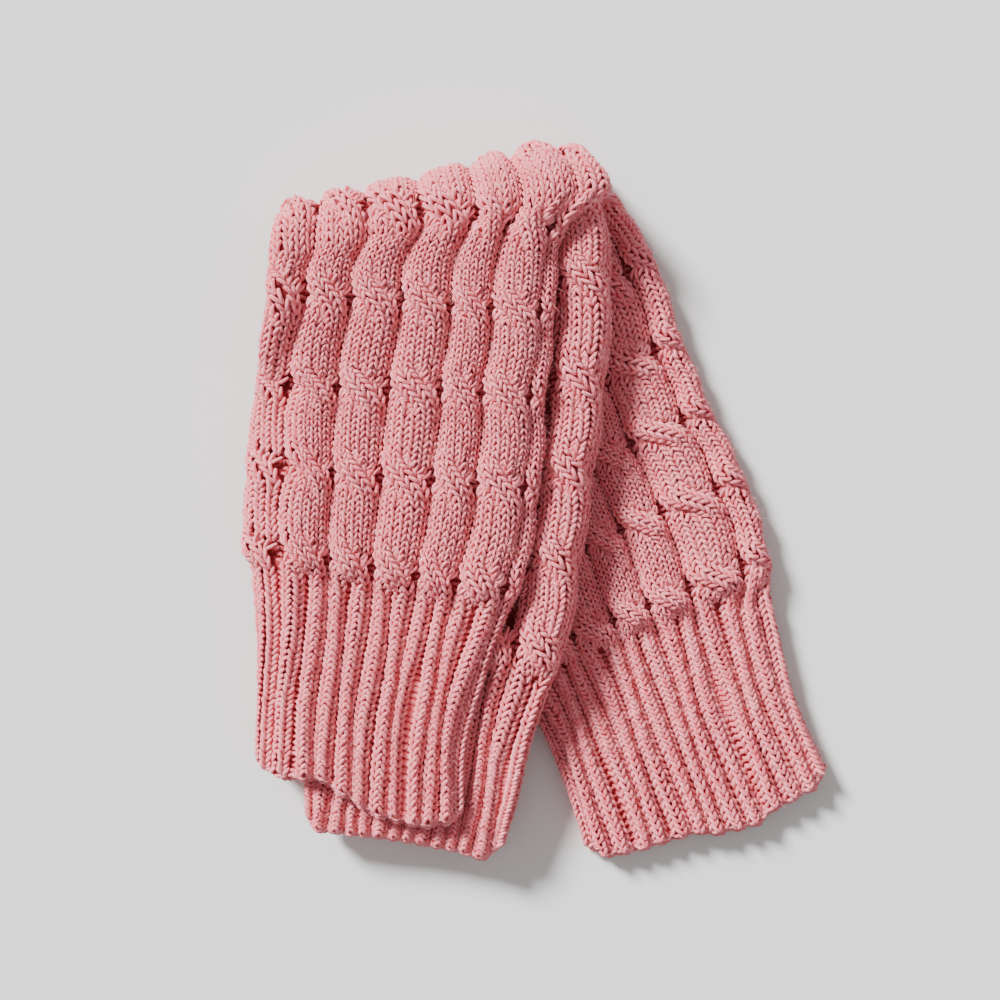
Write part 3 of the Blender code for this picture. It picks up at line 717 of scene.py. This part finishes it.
def grid_mesh(name, verts, faces, uvs=None):
    """A smooth mesh object from arrays in millimetres."""
    mesh = bpy.data.meshes.new(name)
    mesh.vertices.add(len(verts))
    mesh.vertices.foreach_set("co", (verts * MM).astype(np.float32).ravel())
    size = faces.shape[1]
    mesh.loops.add(faces.size)
    mesh.loops.foreach_set("vertex_index", faces.astype(np.int32).ravel())
    mesh.polygons.add(len(faces))
    mesh.polygons.foreach_set("loop_start", np.arange(0, faces.size, size, dtype=np.int32))
    mesh.polygons.foreach_set("loop_total", np.full(len(faces), size, dtype=np.int32))
    if uvs is not None:
        layer = mesh.uv_layers.new(name="yarn")
        layer.data.foreach_set("uv", uvs[faces.ravel()].astype(np.float32).ravel())
    mesh.update(calc_edges=True)
    mesh.validate()
    mesh.shade_smooth()
    piece = bpy.data.objects.new(name, mesh)
    bpy.context.scene.collection.objects.link(piece)
    return piece


def part_of(data, keep):
    """The stitches of data that are kept."""
    return Placed(*(a[keep] for a in data))


def print_triangles(pieces):
    """Prints how many triangles each piece has."""
    for piece in pieces:
        print(piece.name, 2 * len(piece.data.polygons), "triangles")


print("a leg has", 2 * (len(LEG_PATH) - 1) * (RING - 1), "triangles")

# %% Make the legs
CABLES_FROM_ROW, FOLD_FROM_ROW = 36, 78

upper = placed["upper"]
cuff, fold = upper.row < CABLES_FROM_ROW, upper.row >= FOLD_FROM_ROW
KNIT = (("knit_upper_cuff", part_of(upper, cuff)), ("knit_upper_cables", part_of(upper, ~cuff & ~fold)),
        ("knit_fold", part_of(upper, fold)), ("knit_lower", placed["lower"]),
        ("knit_second", placed["second"]))
knit_pieces = [yarn_mesh(name, data, LEG_PATH, LEG_RADIUS, seed) for seed, (name, data) in enumerate(KNIT, 1)]
print_triangles(knit_pieces)

# %% [markdown]
# ## Purl stitches and hems
# Purl stitches show as short bars across the grooves: two columns between the cables, and between the ribs,
# where they stretch wide in the open bands. Each hem is finished by a chain of loops: one row of links lies
# on the rim of each wall and one half way down it, and both rise where a rib ends.

# %% Place the purls
PURL_PATH = np.array([(-1.05, -0.50, -0.55), (-0.45, 0.30, 0.12), (0.45, 0.30, 0.12), (1.05, -0.50, -0.55)])
PURL_RADIUS = np.array([0.52, 0.70, 0.70, 0.52])
HEM_PATH = np.array([(-1.15, -0.50, -0.35), (-0.40, 0.18, 0.10), (0.45, 0.30, 0.10), (1.15, -0.28, -0.35)])
HEM_RADIUS = np.array([0.52, 0.74, 0.78, 0.55])
T_STEP, SHARE_STEP = 0.05, 0.008
PURL_SIDE, PURL_WIDE, PURL_SINK = 0.058, 0.135, 0.45
PURL_SHARES, RIB_PURLS_UNTIL = (-0.01, 1.01), 0.6
BAND_NEAR, BAND_PITCH, BAND_SPREAD = 0.02, 0.085, 0.8


def axes_at(stretch, t, share, lift, side):
    """Centres and axes of yarn on a wall, straight from t and share."""
    up = wall(stretch.middle, t + T_STEP, share, lift, side)
    down = wall(stretch.middle, t - T_STEP, share, lift, side)
    right = wall(stretch.middle, t, share + SHARE_STEP, lift, side)
    left = wall(stretch.middle, t, share - SHARE_STEP, lift, side)
    return wall(stretch.middle, t, share, lift, side), *axes_from(up - down, right - left, side)


def place_purls(stretch):
    """Purl stitches of the grooves between cables and between ribs."""
    rows = np.arange(stretch.row_low, stretch.row_high) + 0.5
    in_cuffs = out_of_cuff(rows, stretch.hem) < RIB_PURLS_UNTIL
    found = []
    for i, gutter in enumerate(stretch.gutters):
        before, after = max(i - 1, 0), min(i + 1, len(stretch.gutters) - 1)
        pitch = (stretch.gutters[after] - stretch.gutters[before]) / (after - before)
        for middle, ribs_only in ((gutter, False), (gutter + pitch / 2.0, True)):
            if not PURL_SHARES[0] <= middle <= PURL_SHARES[1]:
                continue
            spread = np.ones(len(rows))
            for band in OPEN_BANDS[stretch.name]:
                if abs(band.share - middle) < BAND_NEAR:
                    spread += opened(stretch, rows) * band.push / (BAND_PITCH * pitch) * BAND_SPREAD
            wide = spread * PURL_WIDE * pitch * stretch.width
            for column in (-1.0, 1.0):
                share = middle + column * PURL_SIDE * pitch * spread
                found.append(np.column_stack([rows, share, wide])[in_cuffs | (not ribs_only)])
    rows, share, wide = np.vstack(found).T
    body = out_of_cuff(rows, stretch.hem)
    share = widened(stretch.name, share + wander(share, rows, body), body)
    t = find_t(stretch.middle, stretch.t_low, stretch.t_high, rows, in_plan(share)[0])
    lift = -PURL_SINK - beside_rope(stretch.name, share, rows)
    axes = axes_at(stretch, t, share, lift, stretch.side)
    return part_of(Placed(*axes, wide, np.full(len(t), ROW), rows), in_stretch(stretch, t, axes[0]))


purl_pieces = [yarn_mesh("purl_" + s.name, place_purls(s), PURL_PATH, PURL_RADIUS, 11, mirrored=False)
               for s in STRETCHES]
print_triangles(purl_pieces)

# %% Place the hems
HEM_LINK, HEM_PAST, CUFF_NARROWER = 1.75, 0.02, 8.0
HEM_WIDE, HEM_HIGH, LOWEST_HEM = 2.3, 2.0, 0.8
RIM_LIFT, RIM_RIB_LIFT = 0.15, 0.9
DOWN_LIFT, DOWN_RIB_LIFT, DOWN_OUT = -0.62 * HALF, 0.3, 0.055
RIB_OUT = 0.035
FAR_SIDE_LIFT, FAR_SIDE_SINK = 0.2, 0.6


def place_hem(stretch, t_hem, towards, side):
    """Links of the chain that finishes a hem: one row on the wall and one half way down the rim."""
    length = (1.0 + 2.0 * HEM_PAST) * (stretch.width - CUFF_NARROWER + 2.0 * EDGE_ARC)
    links = int(length / HEM_LINK)
    share = np.linspace(-HEM_PAST, 1.0 + HEM_PAST, links)
    i = np.clip(np.searchsorted(stretch.gutters, share, side="right") - 1, 0, len(stretch.gutters) - 2)
    place = (share - stretch.gutters[i]) / (stretch.gutters[i + 1] - stretch.gutters[i])
    on_rib = 0.5 - 0.5 * np.cos(4.0 * np.pi * place)
    rows = []
    for lift, out, sink in ((RIM_LIFT + RIM_RIB_LIFT * on_rib, 0.0, 0.0),
                            (DOWN_LIFT + DOWN_RIB_LIFT * on_rib, DOWN_OUT, FAR_SIDE_SINK)):
        lift = lift if side == stretch.side else lift * FAR_SIDE_LIFT - sink
        t = t_hem - towards * out - towards * RIB_OUT * on_rib
        rows.append(axes_at(stretch, t, share, lift, side))
    centre, across_axis, along_axis, normal = (np.concatenate(pair) for pair in zip(*rows))
    wide, height, row = (np.full(len(centre), value) for value in (HEM_WIDE, HEM_HIGH, stretch.hem))
    chain = Placed(centre, across_axis, -along_axis * towards, normal, wide, height, row)
    return part_of(chain, centre[:, 2] > LOWEST_HEM)


hem_pieces = []
for stretch, t_hem, towards in zip(STRETCHES, (0.0, LAST_T, 0.0), (1.0, -1.0, 1.0)):
    loops = [place_hem(stretch, t_hem, towards, side) for side in (1.0, -1.0)]
    both = tuple(np.concatenate(pair) for pair in zip(*loops))
    hem_pieces.append(yarn_mesh("hem_" + stretch.name, both, HEM_PATH, HEM_RADIUS, 21, mirrored=False))
print_triangles(hem_pieces)

# %% [markdown]
# ## Fuzz
# Soft spun yarn is never bare: single fibres stand off it everywhere. Each is a thin bent ribbon of three
# quads, rooted on a stitch, leaning along it and out of it. They soften the outline and catch the light.

# %% Grow the fuzz
FIBRES = {"upper": 21000, "lower": 13000, "second": 7000}
FIBRE_WIDE, FIBRE_TAPER = 0.08, 0.7
FIBRE_ROOT, FIBRE_LEAN = 0.35, (0.25, 1.1)
FIBRE_GAMMA, FIBRE_LENGTHS, FIBRE_BEND = (4.0, 0.42), (0.6, 3.2), 0.45
FIBRE_SPOTS = (0.0, 0.35, 0.7, 1.0)


def fuzz_mesh(name, data, count, seed):
    """Thin fibres rooted on the stitches in data."""
    grow = np.random.default_rng(seed)
    pick = grow.integers(0, len(data[0]), count)
    centre, across, along_axis, normal = (a[pick] for a in data[:4])
    offset = grow.uniform(-1.0, 1.0, (count, 2))
    root = centre + across * offset[:, :1] + along_axis * offset[:, 1:] + normal * FIBRE_ROOT
    turn = grow.uniform(0.0, 2.0 * np.pi, count)[:, None]
    flat_way = across * np.cos(turn) + along_axis * np.sin(turn)
    lean = grow.uniform(*FIBRE_LEAN, count)[:, None]
    start_way = unit_rows(flat_way + normal * lean)
    bend = unit_rows(np.cross(start_way, grow.normal(0.0, 1.0, (count, 3))))
    length = grow.gamma(*FIBRE_GAMMA, count).clip(*FIBRE_LENGTHS)[:, None]
    spots = [root + start_way * length * k + bend * length * FIBRE_BEND * k ** 2 for k in FIBRE_SPOTS]
    side = unit_rows(np.cross(start_way, bend)) * FIBRE_WIDE / 2.0
    verts = np.stack([spot + sign * side * (1.0 - FIBRE_TAPER * k) for k, spot in zip(FIBRE_SPOTS, spots)
                      for sign in (-1.0, 1.0)], axis=1).reshape(-1, 3)
    verts[:, 2] = np.maximum(verts[:, 2], ABOVE_FLOOR)
    quads = np.array([(0, 1, 3, 2), (2, 3, 5, 4), (4, 5, 7, 6)])
    faces = (8 * np.arange(count)[:, None, None] + quads[None]).reshape(-1, 4)
    return grid_mesh(name, verts - PART_MIDDLE, faces)


fuzz_pieces = [fuzz_mesh("fuzz_" + name, placed[name], count, 31) for name, count in FIBRES.items()]
print_triangles(fuzz_pieces)

# %% [markdown]
# ## The cloth behind the stitches
# Between the columns one looks into the fabric's own shade. A thin tube of cloth lies just behind the
# stitches: it follows the cables and ribs, sinks at each purl gutter, runs all round each stocking and
# turns in at the cuffs. On the walls that carry stitches its deep pink is painted shade, for the shade
# between the columns. Later it is given a thickness, so that it has both its faces. Where no stitches
# cover it, on the underside and inside the fold, it shows plain in a pink of its own.

# %% Relief of the cloth
CLOTH_UNDER = 0.70
MOST_CROSSINGS = 11
STRAND_FROM, STRAND_RUN, STRAND_WIDE, STRAND_RISE, STRAND_ROWS = 0.27, 0.46, 0.30, 0.9, 2.2
LOWER_SHOWS_FROM, LOWER_SHOWS_IN = 18.2, 0.3
FOLD_FADE_FROM, FOLD_FADE = 7.0, 1.6
BESIDE_START, BESIDE_1, BESIDE_2 = 1.0, 3.0, 3.5


def cloth_rise(row, share, stretch):
    """Height of the cloth under the stitches: cables, gutters and ribs."""
    gutters, first = stretch.gutters, stretch.first
    body = out_of_cuff(row, stretch.hem)
    share = before_cuff(stretch, share, row, body)
    i = np.clip(np.searchsorted(gutters, share, side="right") - 1, 0, len(gutters) - 2)
    f = np.clip((share - gutters[i]) / (gutters[i + 1] - gutters[i]), 0.0, 1.0)
    crossing = np.clip(np.round((row - first) / CROSS_EVERY), 0, MOST_CROSSINGS)
    phase = row - first - CROSS_EVERY * crossing
    near = np.exp(-(phase / STRAND_ROWS) ** 4)
    line = ease((phase / CROSS_HALF + 1.0) / 2.0)
    line = line if stretch.slant > 0 else 1.0 - line
    front = STRAND_FROM + STRAND_RUN * line
    dome = np.maximum(1.0 - (np.abs(f - 0.5) / 0.5) ** 2.0, 0.0) ** DOME_POWER
    strand = np.sqrt(np.maximum(1.0 - ((f - front) / STRAND_WIDE) ** 2, 0.0))
    cable = CABLE_RISE * (dome * (1.0 - near) + STRAND_RISE * strand * near)
    rib = RIB_RISE * (0.5 - 0.5 * np.cos(4.0 * np.pi * f))
    return rib + (cable - rib) * body


def first_relief(t, share, row, side):
    """Relief of stocking 1's cloth on both its walls, all along it."""
    if t[0] <= TOP_T + FOLD_KNITTED:
        fade = 1.0 - ease((t - TOP_T - FOLD_FADE_FROM) / FOLD_FADE)
        if side < 0:
            share = np.where(share < 0.5, -share, 2.0 - share)
        fade = fade * past_edge(share)
        return cloth_rise(row, share, STRETCHES[0]) * fade * BOLD["upper"]
    if side > 0 or t[0] < TOP_T + FOLD_PART:
        return np.full(len(t), CLOTH_UNDER if side > 0 else 0.0)
    point = middle_first(t, share)[0]
    beside = ease((point[:, 0] - edge_at(SECOND, point[:, 1], "right") + BESIDE_START) / BESIDE_1)
    open_part = beside * ease((t - LOWER_SHOWS_FROM) / LOWER_SHOWS_IN)
    body = out_of_cuff(row, HEM_ROW_LOWER)
    rise = cloth_rise(row, narrowed_back(share, body), STRETCHES[1]) * BOLD["lower"]
    return rise * open_part * past_edge(share)


sample = cloth_rise(np.array([58.0]), np.array([0.39]), STRETCHES[0])
print("cloth over a cable's middle:", sample.round(1), "mm")

# %% The tube of cloth
LIP_STEP, LIP_STEPS = 0.13, (0, 1, 5, 9)
LIP_HALF, RIM_HALF = 0.7, 1.2
LIP_FROM, LIP_RUN = 0.03, 0.94


def ring_faces(size, count):
    """Quads between rings of points, each joined to the next."""
    k = np.arange(size)
    ahead = (k + 1) % size
    strip = np.column_stack([k, ahead, size + ahead, size + k])
    return np.vstack([strip + i * size for i in range(count - 1)])


def lip_wall(middle, t, shares, half, side):
    """Points on the inside of a cuff, which is a little narrower than its outside."""
    return wall(middle, t, LIP_FROM + LIP_RUN * shares, np.full(len(t), half - HALF), side)


def lip(end, step):
    """Rings that turn in at a cuff: their t, half their thickness, and that they lie inside."""
    return [(end + step * k, LIP_HALF if k else RIM_HALF, False) for k in LIP_STEPS]


def tube(name, middle, t_values, shares, relief):
    """A tube of cloth, turned in at both cuffs; relief gives its height over the flat wall."""
    order = lip(t_values[0], LIP_STEP)[::-1] + [(t, HALF, True) for t in t_values]
    order += lip(t_values[-1], -LIP_STEP)
    rings = []
    for t, half, outer_wall in order:
        loop = []
        for side, row_shares in ((1.0, shares), (-1.0, shares[::-1][1:-1])):
            tt = np.full(len(row_shares), t)
            if outer_wall:
                lift = relief(tt, row_shares, middle(tt, row_shares)[1], side) - CLOTH_UNDER
                loop.append(wall(middle, tt, row_shares, lift, side))
            else:
                loop.append(lip_wall(middle, tt, row_shares, half, side))
        rings.append(np.vstack(loop))
    size = len(rings[0])
    piece = grid_mesh(name, np.vstack(rings) - PART_MIDDLE, ring_faces(size, len(rings)))
    upper_half = np.array([t <= TOP_T + FOLD_PART / 2.0 for t, _, _ in order[:-1]])
    hidden = (np.arange(size) >= len(shares) - 1)[None, :] == upper_half[:, None]
    piece.data.polygons.foreach_set("material_index", hidden.astype(np.int32).ravel())
    return piece


def evenly(stations):
    """Fractional indices with a ring about every row of knitting."""
    stops = []
    for i in range(len(stations) - 1):
        rows = np.abs(stations[i + 1, 0] - stations[i, 0] + stations[i + 1, 1] - stations[i, 1]) / 2.0
        count = max(1, int(round(rows)))
        stops += [i + k / count for k in range(count)]
    return np.array(stops)


FOLD_RING_STEP, LAST_RING_IN = 0.4, 0.001
EDGE_SHARES, INNER_SHARES = [0.0, 0.004, 0.012, 0.025], np.linspace(0.04, 0.96, 70)
cloth_shares = np.concatenate([EDGE_SHARES, INNER_SHARES, [0.975, 0.988, 0.996, 1.0]])
t_turn = TOP_T + np.arange(0, FOLD_PART, FOLD_RING_STEP)
t_down = TOP_T + FOLD_PART + evenly(LOWER)
t_cloth = np.concatenate([evenly(UPPER), t_turn, t_down, [LAST_T - LAST_RING_IN]])
cloth_1 = tube("cloth_stocking_1", middle_first, t_cloth, cloth_shares, first_relief)
print_triangles([cloth_1])

# %% [markdown]
# ## The cloth of stocking 2
# Stocking 2 is folded inside stocking 1. What shows of it is its upper half and its layered edge, so its
# cloth runs once round that stack, turns in at the cuff and closes over inside the fold.

# %% Wrap the stack
LAYER_EDGES = ((0.5, 0.66), (3.0, 0.53), (3.9, 0.43), (3.1, 0.28), (3.9, 0.12))
UPPER_PANEL = 6.7
STACK_FLAT, STACK_CLEAR = 6.5, 0.4
EDGE_KEPT_AT_CUFF = 2.5
UNDER_POINTS = 7
CUFF_RINGS, BODY_RINGS_FROM, END_RINGS = (0.0, 0.07, 0.14), 0.22, (0.0, 2.6, 4.7, 6.1, 6.9, END_ROUND)
CLOTH_THICK = 0.9


def second_relief(share, row, point):
    """Relief of stocking 2's cloth where it shows: beside the upper half and below its hem."""
    beside = ease((point[:, 0] - edge_at(UPPER, point[:, 1], "right") + BESIDE_START) / BESIDE_2)
    below = ease((upper_hem_at(point[:, 0]) - point[:, 1] - BESIDE_START) / BESIDE_2)
    rise = cloth_rise(row, share, STRETCHES[2]) * np.maximum(beside, below) * past_edge(share)
    return BOLD["second"] * rise - beside_rope("second", share, row)


def stack_spot(t, share, drop):
    """A point of stocking 2 in plan, with the top and the underside of its stack there."""
    x, y = middle_second(np.array([float(t)]), np.array([share]))[0][0][:2]
    top, low = stack_top(x, y), stack_under(x, y) + STACK_CLEAR
    return x, y, top, low + (top - UPPER_PANEL - low) * drop


def stack_ring(t, shares, drop, past):
    """Points round stocking 2's stack at t; past runs round the end inside the fold."""
    half_end = (STACK_HIGH_TOP - STACK_HIGH_UNDER) / 2.0
    shrink = math.sqrt(max(0.0, 1.0 - (past / half_end) ** 2))
    tt = np.full(len(shares), float(t))
    point, row = middle_second(tt, shares)
    relief = second_relief(shares, row, point) * shrink
    over = wall(middle_second, tt, shares, relief - CLOTH_UNDER, 1.0)
    edges = {0.0: [], 1.0: []}
    width = np.linalg.norm(point[-1, :2] - point[0, :2])
    for inset, level in LAYER_EDGES + ((STACK_FLAT, 0.0),):
        inset = (inset * (1.0 - drop) + min(inset, EDGE_KEPT_AT_CUFF) * drop) / width
        for end in (0.0, 1.0):
            x, y, top, low = stack_spot(t, inset if end == 0.0 else 1.0 - inset, drop)
            edges[end].append(np.array([x, y, low + (top - low) * level]))
    under = []
    for share in np.linspace(1.0, 0.0, UNDER_POINTS + 2)[1:-1]:
        x, y, _, low = stack_spot(t, share, drop)
        under.append(np.array([x, y, low]))
    loop = np.vstack([over, edges[1.0], under, edges[0.0][::-1]])
    if past > 0:
        loop[:, :2] += OUT_OF_FOLD * past
        centre = (STACK_HIGH_TOP + STACK_HIGH_UNDER) / 2.0
        loop[:, 2] = centre + (loop[:, 2] - centre) * shrink
    return loop


def slit(t, shares, half):
    """A thin ring inside the cuff with as many points as a ring round the stack."""
    count = 2 * (len(LAYER_EDGES) + 1) + UNDER_POINTS
    back = np.linspace(1.0, 0.0, count + 2)[1:-1]
    over = lip_wall(middle_second, np.full(len(shares), float(t)), shares, half, 1.0)
    under = lip_wall(middle_second, np.full(count, float(t)), back, half, -1.0)
    return np.vstack([over, under])


rings = [slit(t, cloth_shares, half) for t, half, _ in lip(0.0, LIP_STEP)[::-1]]
rings += [stack_ring(t, cloth_shares, 1.0, 0.0) for t in CUFF_RINGS]
rings += [stack_ring(t, cloth_shares, 0.0, 0.0) for t in evenly(SECOND) if t > BODY_RINGS_FROM]
rings += [stack_ring(SECOND_END, cloth_shares, 0.0, past) for past in END_RINGS]
cloth_2 = grid_mesh("cloth_stocking_2", np.vstack(rings) - PART_MIDDLE, ring_faces(len(rings[0]), len(rings)))
ring_column = np.tile(np.arange(len(rings[0])), len(rings) - 1)
bare_2 = ring_column >= len(cloth_shares) + len(LAYER_EDGES) + 1
cloth_2.data.polygons.foreach_set("material_index", bare_2.astype(np.int32))
for cloth in (cloth_1, cloth_2):
    thick = cloth.modifiers.new("thickness", "SOLIDIFY")
    thick.thickness = CLOTH_THICK * MM
    thick.offset = -1.0
print(cloth_2.name, 2 * len(cloth_2.data.polygons), "triangles on each side")

# %% [markdown]
# ## Yarn
# Soft pink yarn: a matte base with a low sheen, fine fibre bumps and slow changes of tint from place to
# place. A painted highlight makes each leg lighter along its crest, with painted shade at its sides. All the
# pinks share one shader node group. The purls get a deeper copy of the pink, painted shade for their
# grooves. The cloth behind the stitches is a deep pink, painted shade for the gaps between the columns, and
# the cloth that lies bare has the yarn's own tone.

# %% The yarn's node group
STREAK = 2.2
STREAKS_ON_LEG = (1.4, 5.0, 0.0)
STREAKS_SHIFT = (450.0, 450.0, 450.0)
STREAK_DETAIL, FINE_SCALE, TINT_SCALE, SOFT_DETAIL = 3.0, 2400.0, 330.0, 2.0


def maths(group, kind, operation, second=None):
    """A maths node, with its second input set where one is given."""
    made = group.nodes.new(kind)
    made.operation = operation
    if second is not None:
        made.inputs[1].default_value = second
    return made


def noise(group, scale, detail):
    """A noise texture node."""
    made = group.nodes.new("ShaderNodeTexNoise")
    made.inputs["Scale"].default_value = scale
    made.inputs["Detail"].default_value = detail
    return made


def spun_yarn_group():
    """Fibre streaks along each leg, fine fuzz, slow changes of tint, and a painted highlight along the middle
    of each leg with painted shade at its sides: a colour and a height.
    """
    group = bpy.data.node_groups.new("spun_yarn", "ShaderNodeTree")
    for name, way, kind in (("Light", "INPUT", "NodeSocketColor"), ("Deep", "INPUT", "NodeSocketColor"),
                            ("Crest Highlight Slope", "INPUT", "NodeSocketFloat"), ("Low", "INPUT", "NodeSocketFloat"),
                            ("High", "INPUT", "NodeSocketFloat"), ("Color", "OUTPUT", "NodeSocketColor"),
                            ("Height", "OUTPUT", "NodeSocketFloat")):
        group.interface.new_socket(name=name, in_out=way, socket_type=kind)
    given, result = group.nodes.new("NodeGroupInput"), group.nodes.new("NodeGroupOutput")
    coords, uv = group.nodes.new("ShaderNodeTexCoord"), group.nodes.new("ShaderNodeUVMap")
    uv.uv_map = "yarn"
    on_leg = maths(group, "ShaderNodeVectorMath", "MULTIPLY", STREAKS_ON_LEG)
    shift = maths(group, "ShaderNodeVectorMath", "MULTIPLY_ADD", STREAKS_SHIFT)
    streaks = noise(group, 1.0, STREAK_DETAIL)
    fine, tint = noise(group, FINE_SCALE, SOFT_DETAIL), noise(group, TINT_SCALE, SOFT_DETAIL)
    both = maths(group, "ShaderNodeMath", "MULTIPLY_ADD", STREAK)
    split = group.nodes.new("ShaderNodeSeparateXYZ")
    # Painted highlight and shade: the colour leans to Light along the middle of each leg's round and to Deep
    # at its sides.
    to_side = maths(group, "ShaderNodeMath", "SUBTRACT", 0.5)
    off_lit_crest = maths(group, "ShaderNodeMath", "ABSOLUTE")
    crest_highlighted = maths(group, "ShaderNodeMath", "MULTIPLY_ADD")
    blend = group.nodes.new("ShaderNodeMapRange")
    mix = group.nodes.new("ShaderNodeMix")
    mix.data_type = "RGBA"
    heights = maths(group, "ShaderNodeMath", "ADD")
    for source, target in (
            (uv.outputs["UV"], on_leg.inputs[0]), (coords.outputs["Object"], shift.inputs[0]),
            (on_leg.outputs["Vector"], shift.inputs[2]), (shift.outputs["Vector"], streaks.inputs["Vector"]),
            (coords.outputs["Object"], fine.inputs["Vector"]),
            (coords.outputs["Object"], tint.inputs["Vector"]),
            (streaks.outputs["Fac"], both.inputs[0]), (tint.outputs["Fac"], both.inputs[2]),
            (uv.outputs["UV"], split.inputs["Vector"]), (split.outputs["Y"], to_side.inputs[0]),
            (to_side.outputs["Value"], off_lit_crest.inputs[0]), (off_lit_crest.outputs["Value"], crest_highlighted.inputs[0]),
            (given.outputs["Crest Highlight Slope"], crest_highlighted.inputs[1]), (both.outputs["Value"], crest_highlighted.inputs[2]),
            (crest_highlighted.outputs["Value"], blend.inputs["Value"]),
            (given.outputs["Low"], blend.inputs["From Min"]),
            (given.outputs["High"], blend.inputs["From Max"]), (blend.outputs["Result"], mix.inputs["Factor"]),
            (given.outputs["Deep"], mix.inputs["A"]), (given.outputs["Light"], mix.inputs["B"]),
            (mix.outputs["Result"], result.inputs["Color"]), (streaks.outputs["Fac"], heights.inputs[0]),
            (fine.outputs["Fac"], heights.inputs[1]), (heights.outputs["Value"], result.inputs["Height"])):
        group.links.new(source, target)
    return group


SPUN_YARN = spun_yarn_group()
print("nodes in the yarn group:", len(SPUN_YARN.nodes))


# %% Materials
def yarn_material(name, light, deep, sheen=0.25, crest_highlight=0.75):
    """Spun yarn in one pink; the last argument is how strong the painted highlight along the middle of each
    leg is, against painted shade at its sides.
    """
    material = bpy.data.materials.new(name)
    material.use_nodes = True
    tree = material.node_tree
    shader = tree.nodes["Principled BSDF"]
    spun = tree.nodes.new("ShaderNodeGroup")
    spun.node_tree = SPUN_YARN
    usual = (STREAK + 1.0) / 2.0
    spun.inputs["Light"].default_value = (*light, 1.0)
    spun.inputs["Deep"].default_value = (*deep, 1.0)
    spun.inputs["Crest Highlight Slope"].default_value = -2.0 * crest_highlight
    spun.inputs["Low"].default_value = usual - 0.40 - 0.70 * crest_highlight
    spun.inputs["High"].default_value = usual + 0.42 - 0.15 * crest_highlight
    bump = tree.nodes.new("ShaderNodeBump")
    bump.inputs["Strength"].default_value = 0.9
    bump.inputs["Distance"].default_value = 0.00045
    tree.links.new(spun.outputs["Color"], shader.inputs["Base Color"])
    tree.links.new(spun.outputs["Height"], bump.inputs["Height"])
    tree.links.new(bump.outputs["Normal"], shader.inputs["Normal"])
    shader.inputs["Roughness"].default_value = 0.85
    shader.inputs["Specular IOR Level"].default_value = 0.25
    shader.inputs["Sheen Weight"].default_value = sheen
    shader.inputs["Sheen Roughness"].default_value = 0.5
    shader.inputs["Sheen Tint"].default_value = (1.0, 0.80, 0.82, 1.0)
    return material


# Each yarn's crest value paints a highlight along the middle of each leg and shade at its sides.
yarn = yarn_material("pink_yarn", (1.0, 0.365, 0.405), (0.74, 0.06, 0.095), sheen=0.12, crest_highlight=0.9)
# Painted shade: the purls get a deeper, darker copy of the yarn's pink, for the shade of the grooves they lie
# in.
shaded_purl_yarn = yarn_material("pink_purl_yarn_painted_shade", (0.94, 0.25, 0.29), (0.68, 0.07, 0.10), sheen=0.08)
fibre = yarn_material("pink_fibre", (1.0, 0.46, 0.49), (0.96, 0.32, 0.36), crest_highlight=0.0)
# Painted shade: the cloth between the columns gets a deep, dark pink, darker than the yarn's own tone, for the
# shade there.
painted_shade_cloth = yarn_material("pink_cloth_painted_shade", (0.40, 0.040, 0.052), (0.33, 0.026, 0.036), sheen=0.0, crest_highlight=0.0)
yarn_pieces = knit_pieces + purl_pieces + hem_pieces + fuzz_pieces
for piece in yarn_pieces:
    kind = shaded_purl_yarn if piece in purl_pieces else fibre if piece in fuzz_pieces else yarn
    piece.data.materials.append(kind)
bare_cloth = yarn_material("pink_cloth_bare", (0.93, 0.27, 0.31), (0.72, 0.13, 0.17), sheen=0.1, crest_highlight=0.0)
for piece in (cloth_1, cloth_2):
    piece.data.materials.append(painted_shade_cloth)
    piece.data.materials.append(bare_cloth)
print("materials:", len(bpy.data.materials))

# %% [markdown]
# ## Floor and light
# A plain pale surface, a soft sun from the upper left, and a pale sky that fills the shade.

# %% Floor and light
bpy.ops.mesh.primitive_plane_add(size=3.0, location=(0.0, 0.0, 0.0))
floor = bpy.context.object
floor.name = "floor"
floor_material = bpy.data.materials.new("pale_floor")
floor_material.use_nodes = True
floor_material.node_tree.nodes["Principled BSDF"].inputs["Base Color"].default_value = (0.78, 0.78, 0.775, 1.0)
floor_material.node_tree.nodes["Principled BSDF"].inputs["Roughness"].default_value = 0.8
floor.data.materials.append(floor_material)

sun = bpy.data.objects.new("sun", bpy.data.lights.new("sun", "SUN"))
sun.data.energy = 9.6
sun.data.angle = math.radians(13.0)
TO_SUN = (-0.60, 0.60, 0.55)
sun.rotation_euler = Vector(TO_SUN).to_track_quat("Z", "Y").to_euler()
bpy.context.scene.collection.objects.link(sun)

world = bpy.data.worlds.new("sky")
world.use_nodes = True
world.node_tree.nodes["Background"].inputs["Color"].default_value = (1.0, 0.98, 0.97, 1.0)
world.node_tree.nodes["Background"].inputs["Strength"].default_value = 0.50
bpy.context.scene.world = world
print("lights set")

# %% [markdown]
# ## Tie every piece to the part
# Each piece rides with the part, and the shells stand for the two solids.

# %% Ride and replace
for piece in yarn_pieces + [cloth_1, cloth_2]:
    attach(piece, "root")
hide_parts("stocking_1")
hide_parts("stocking_2")
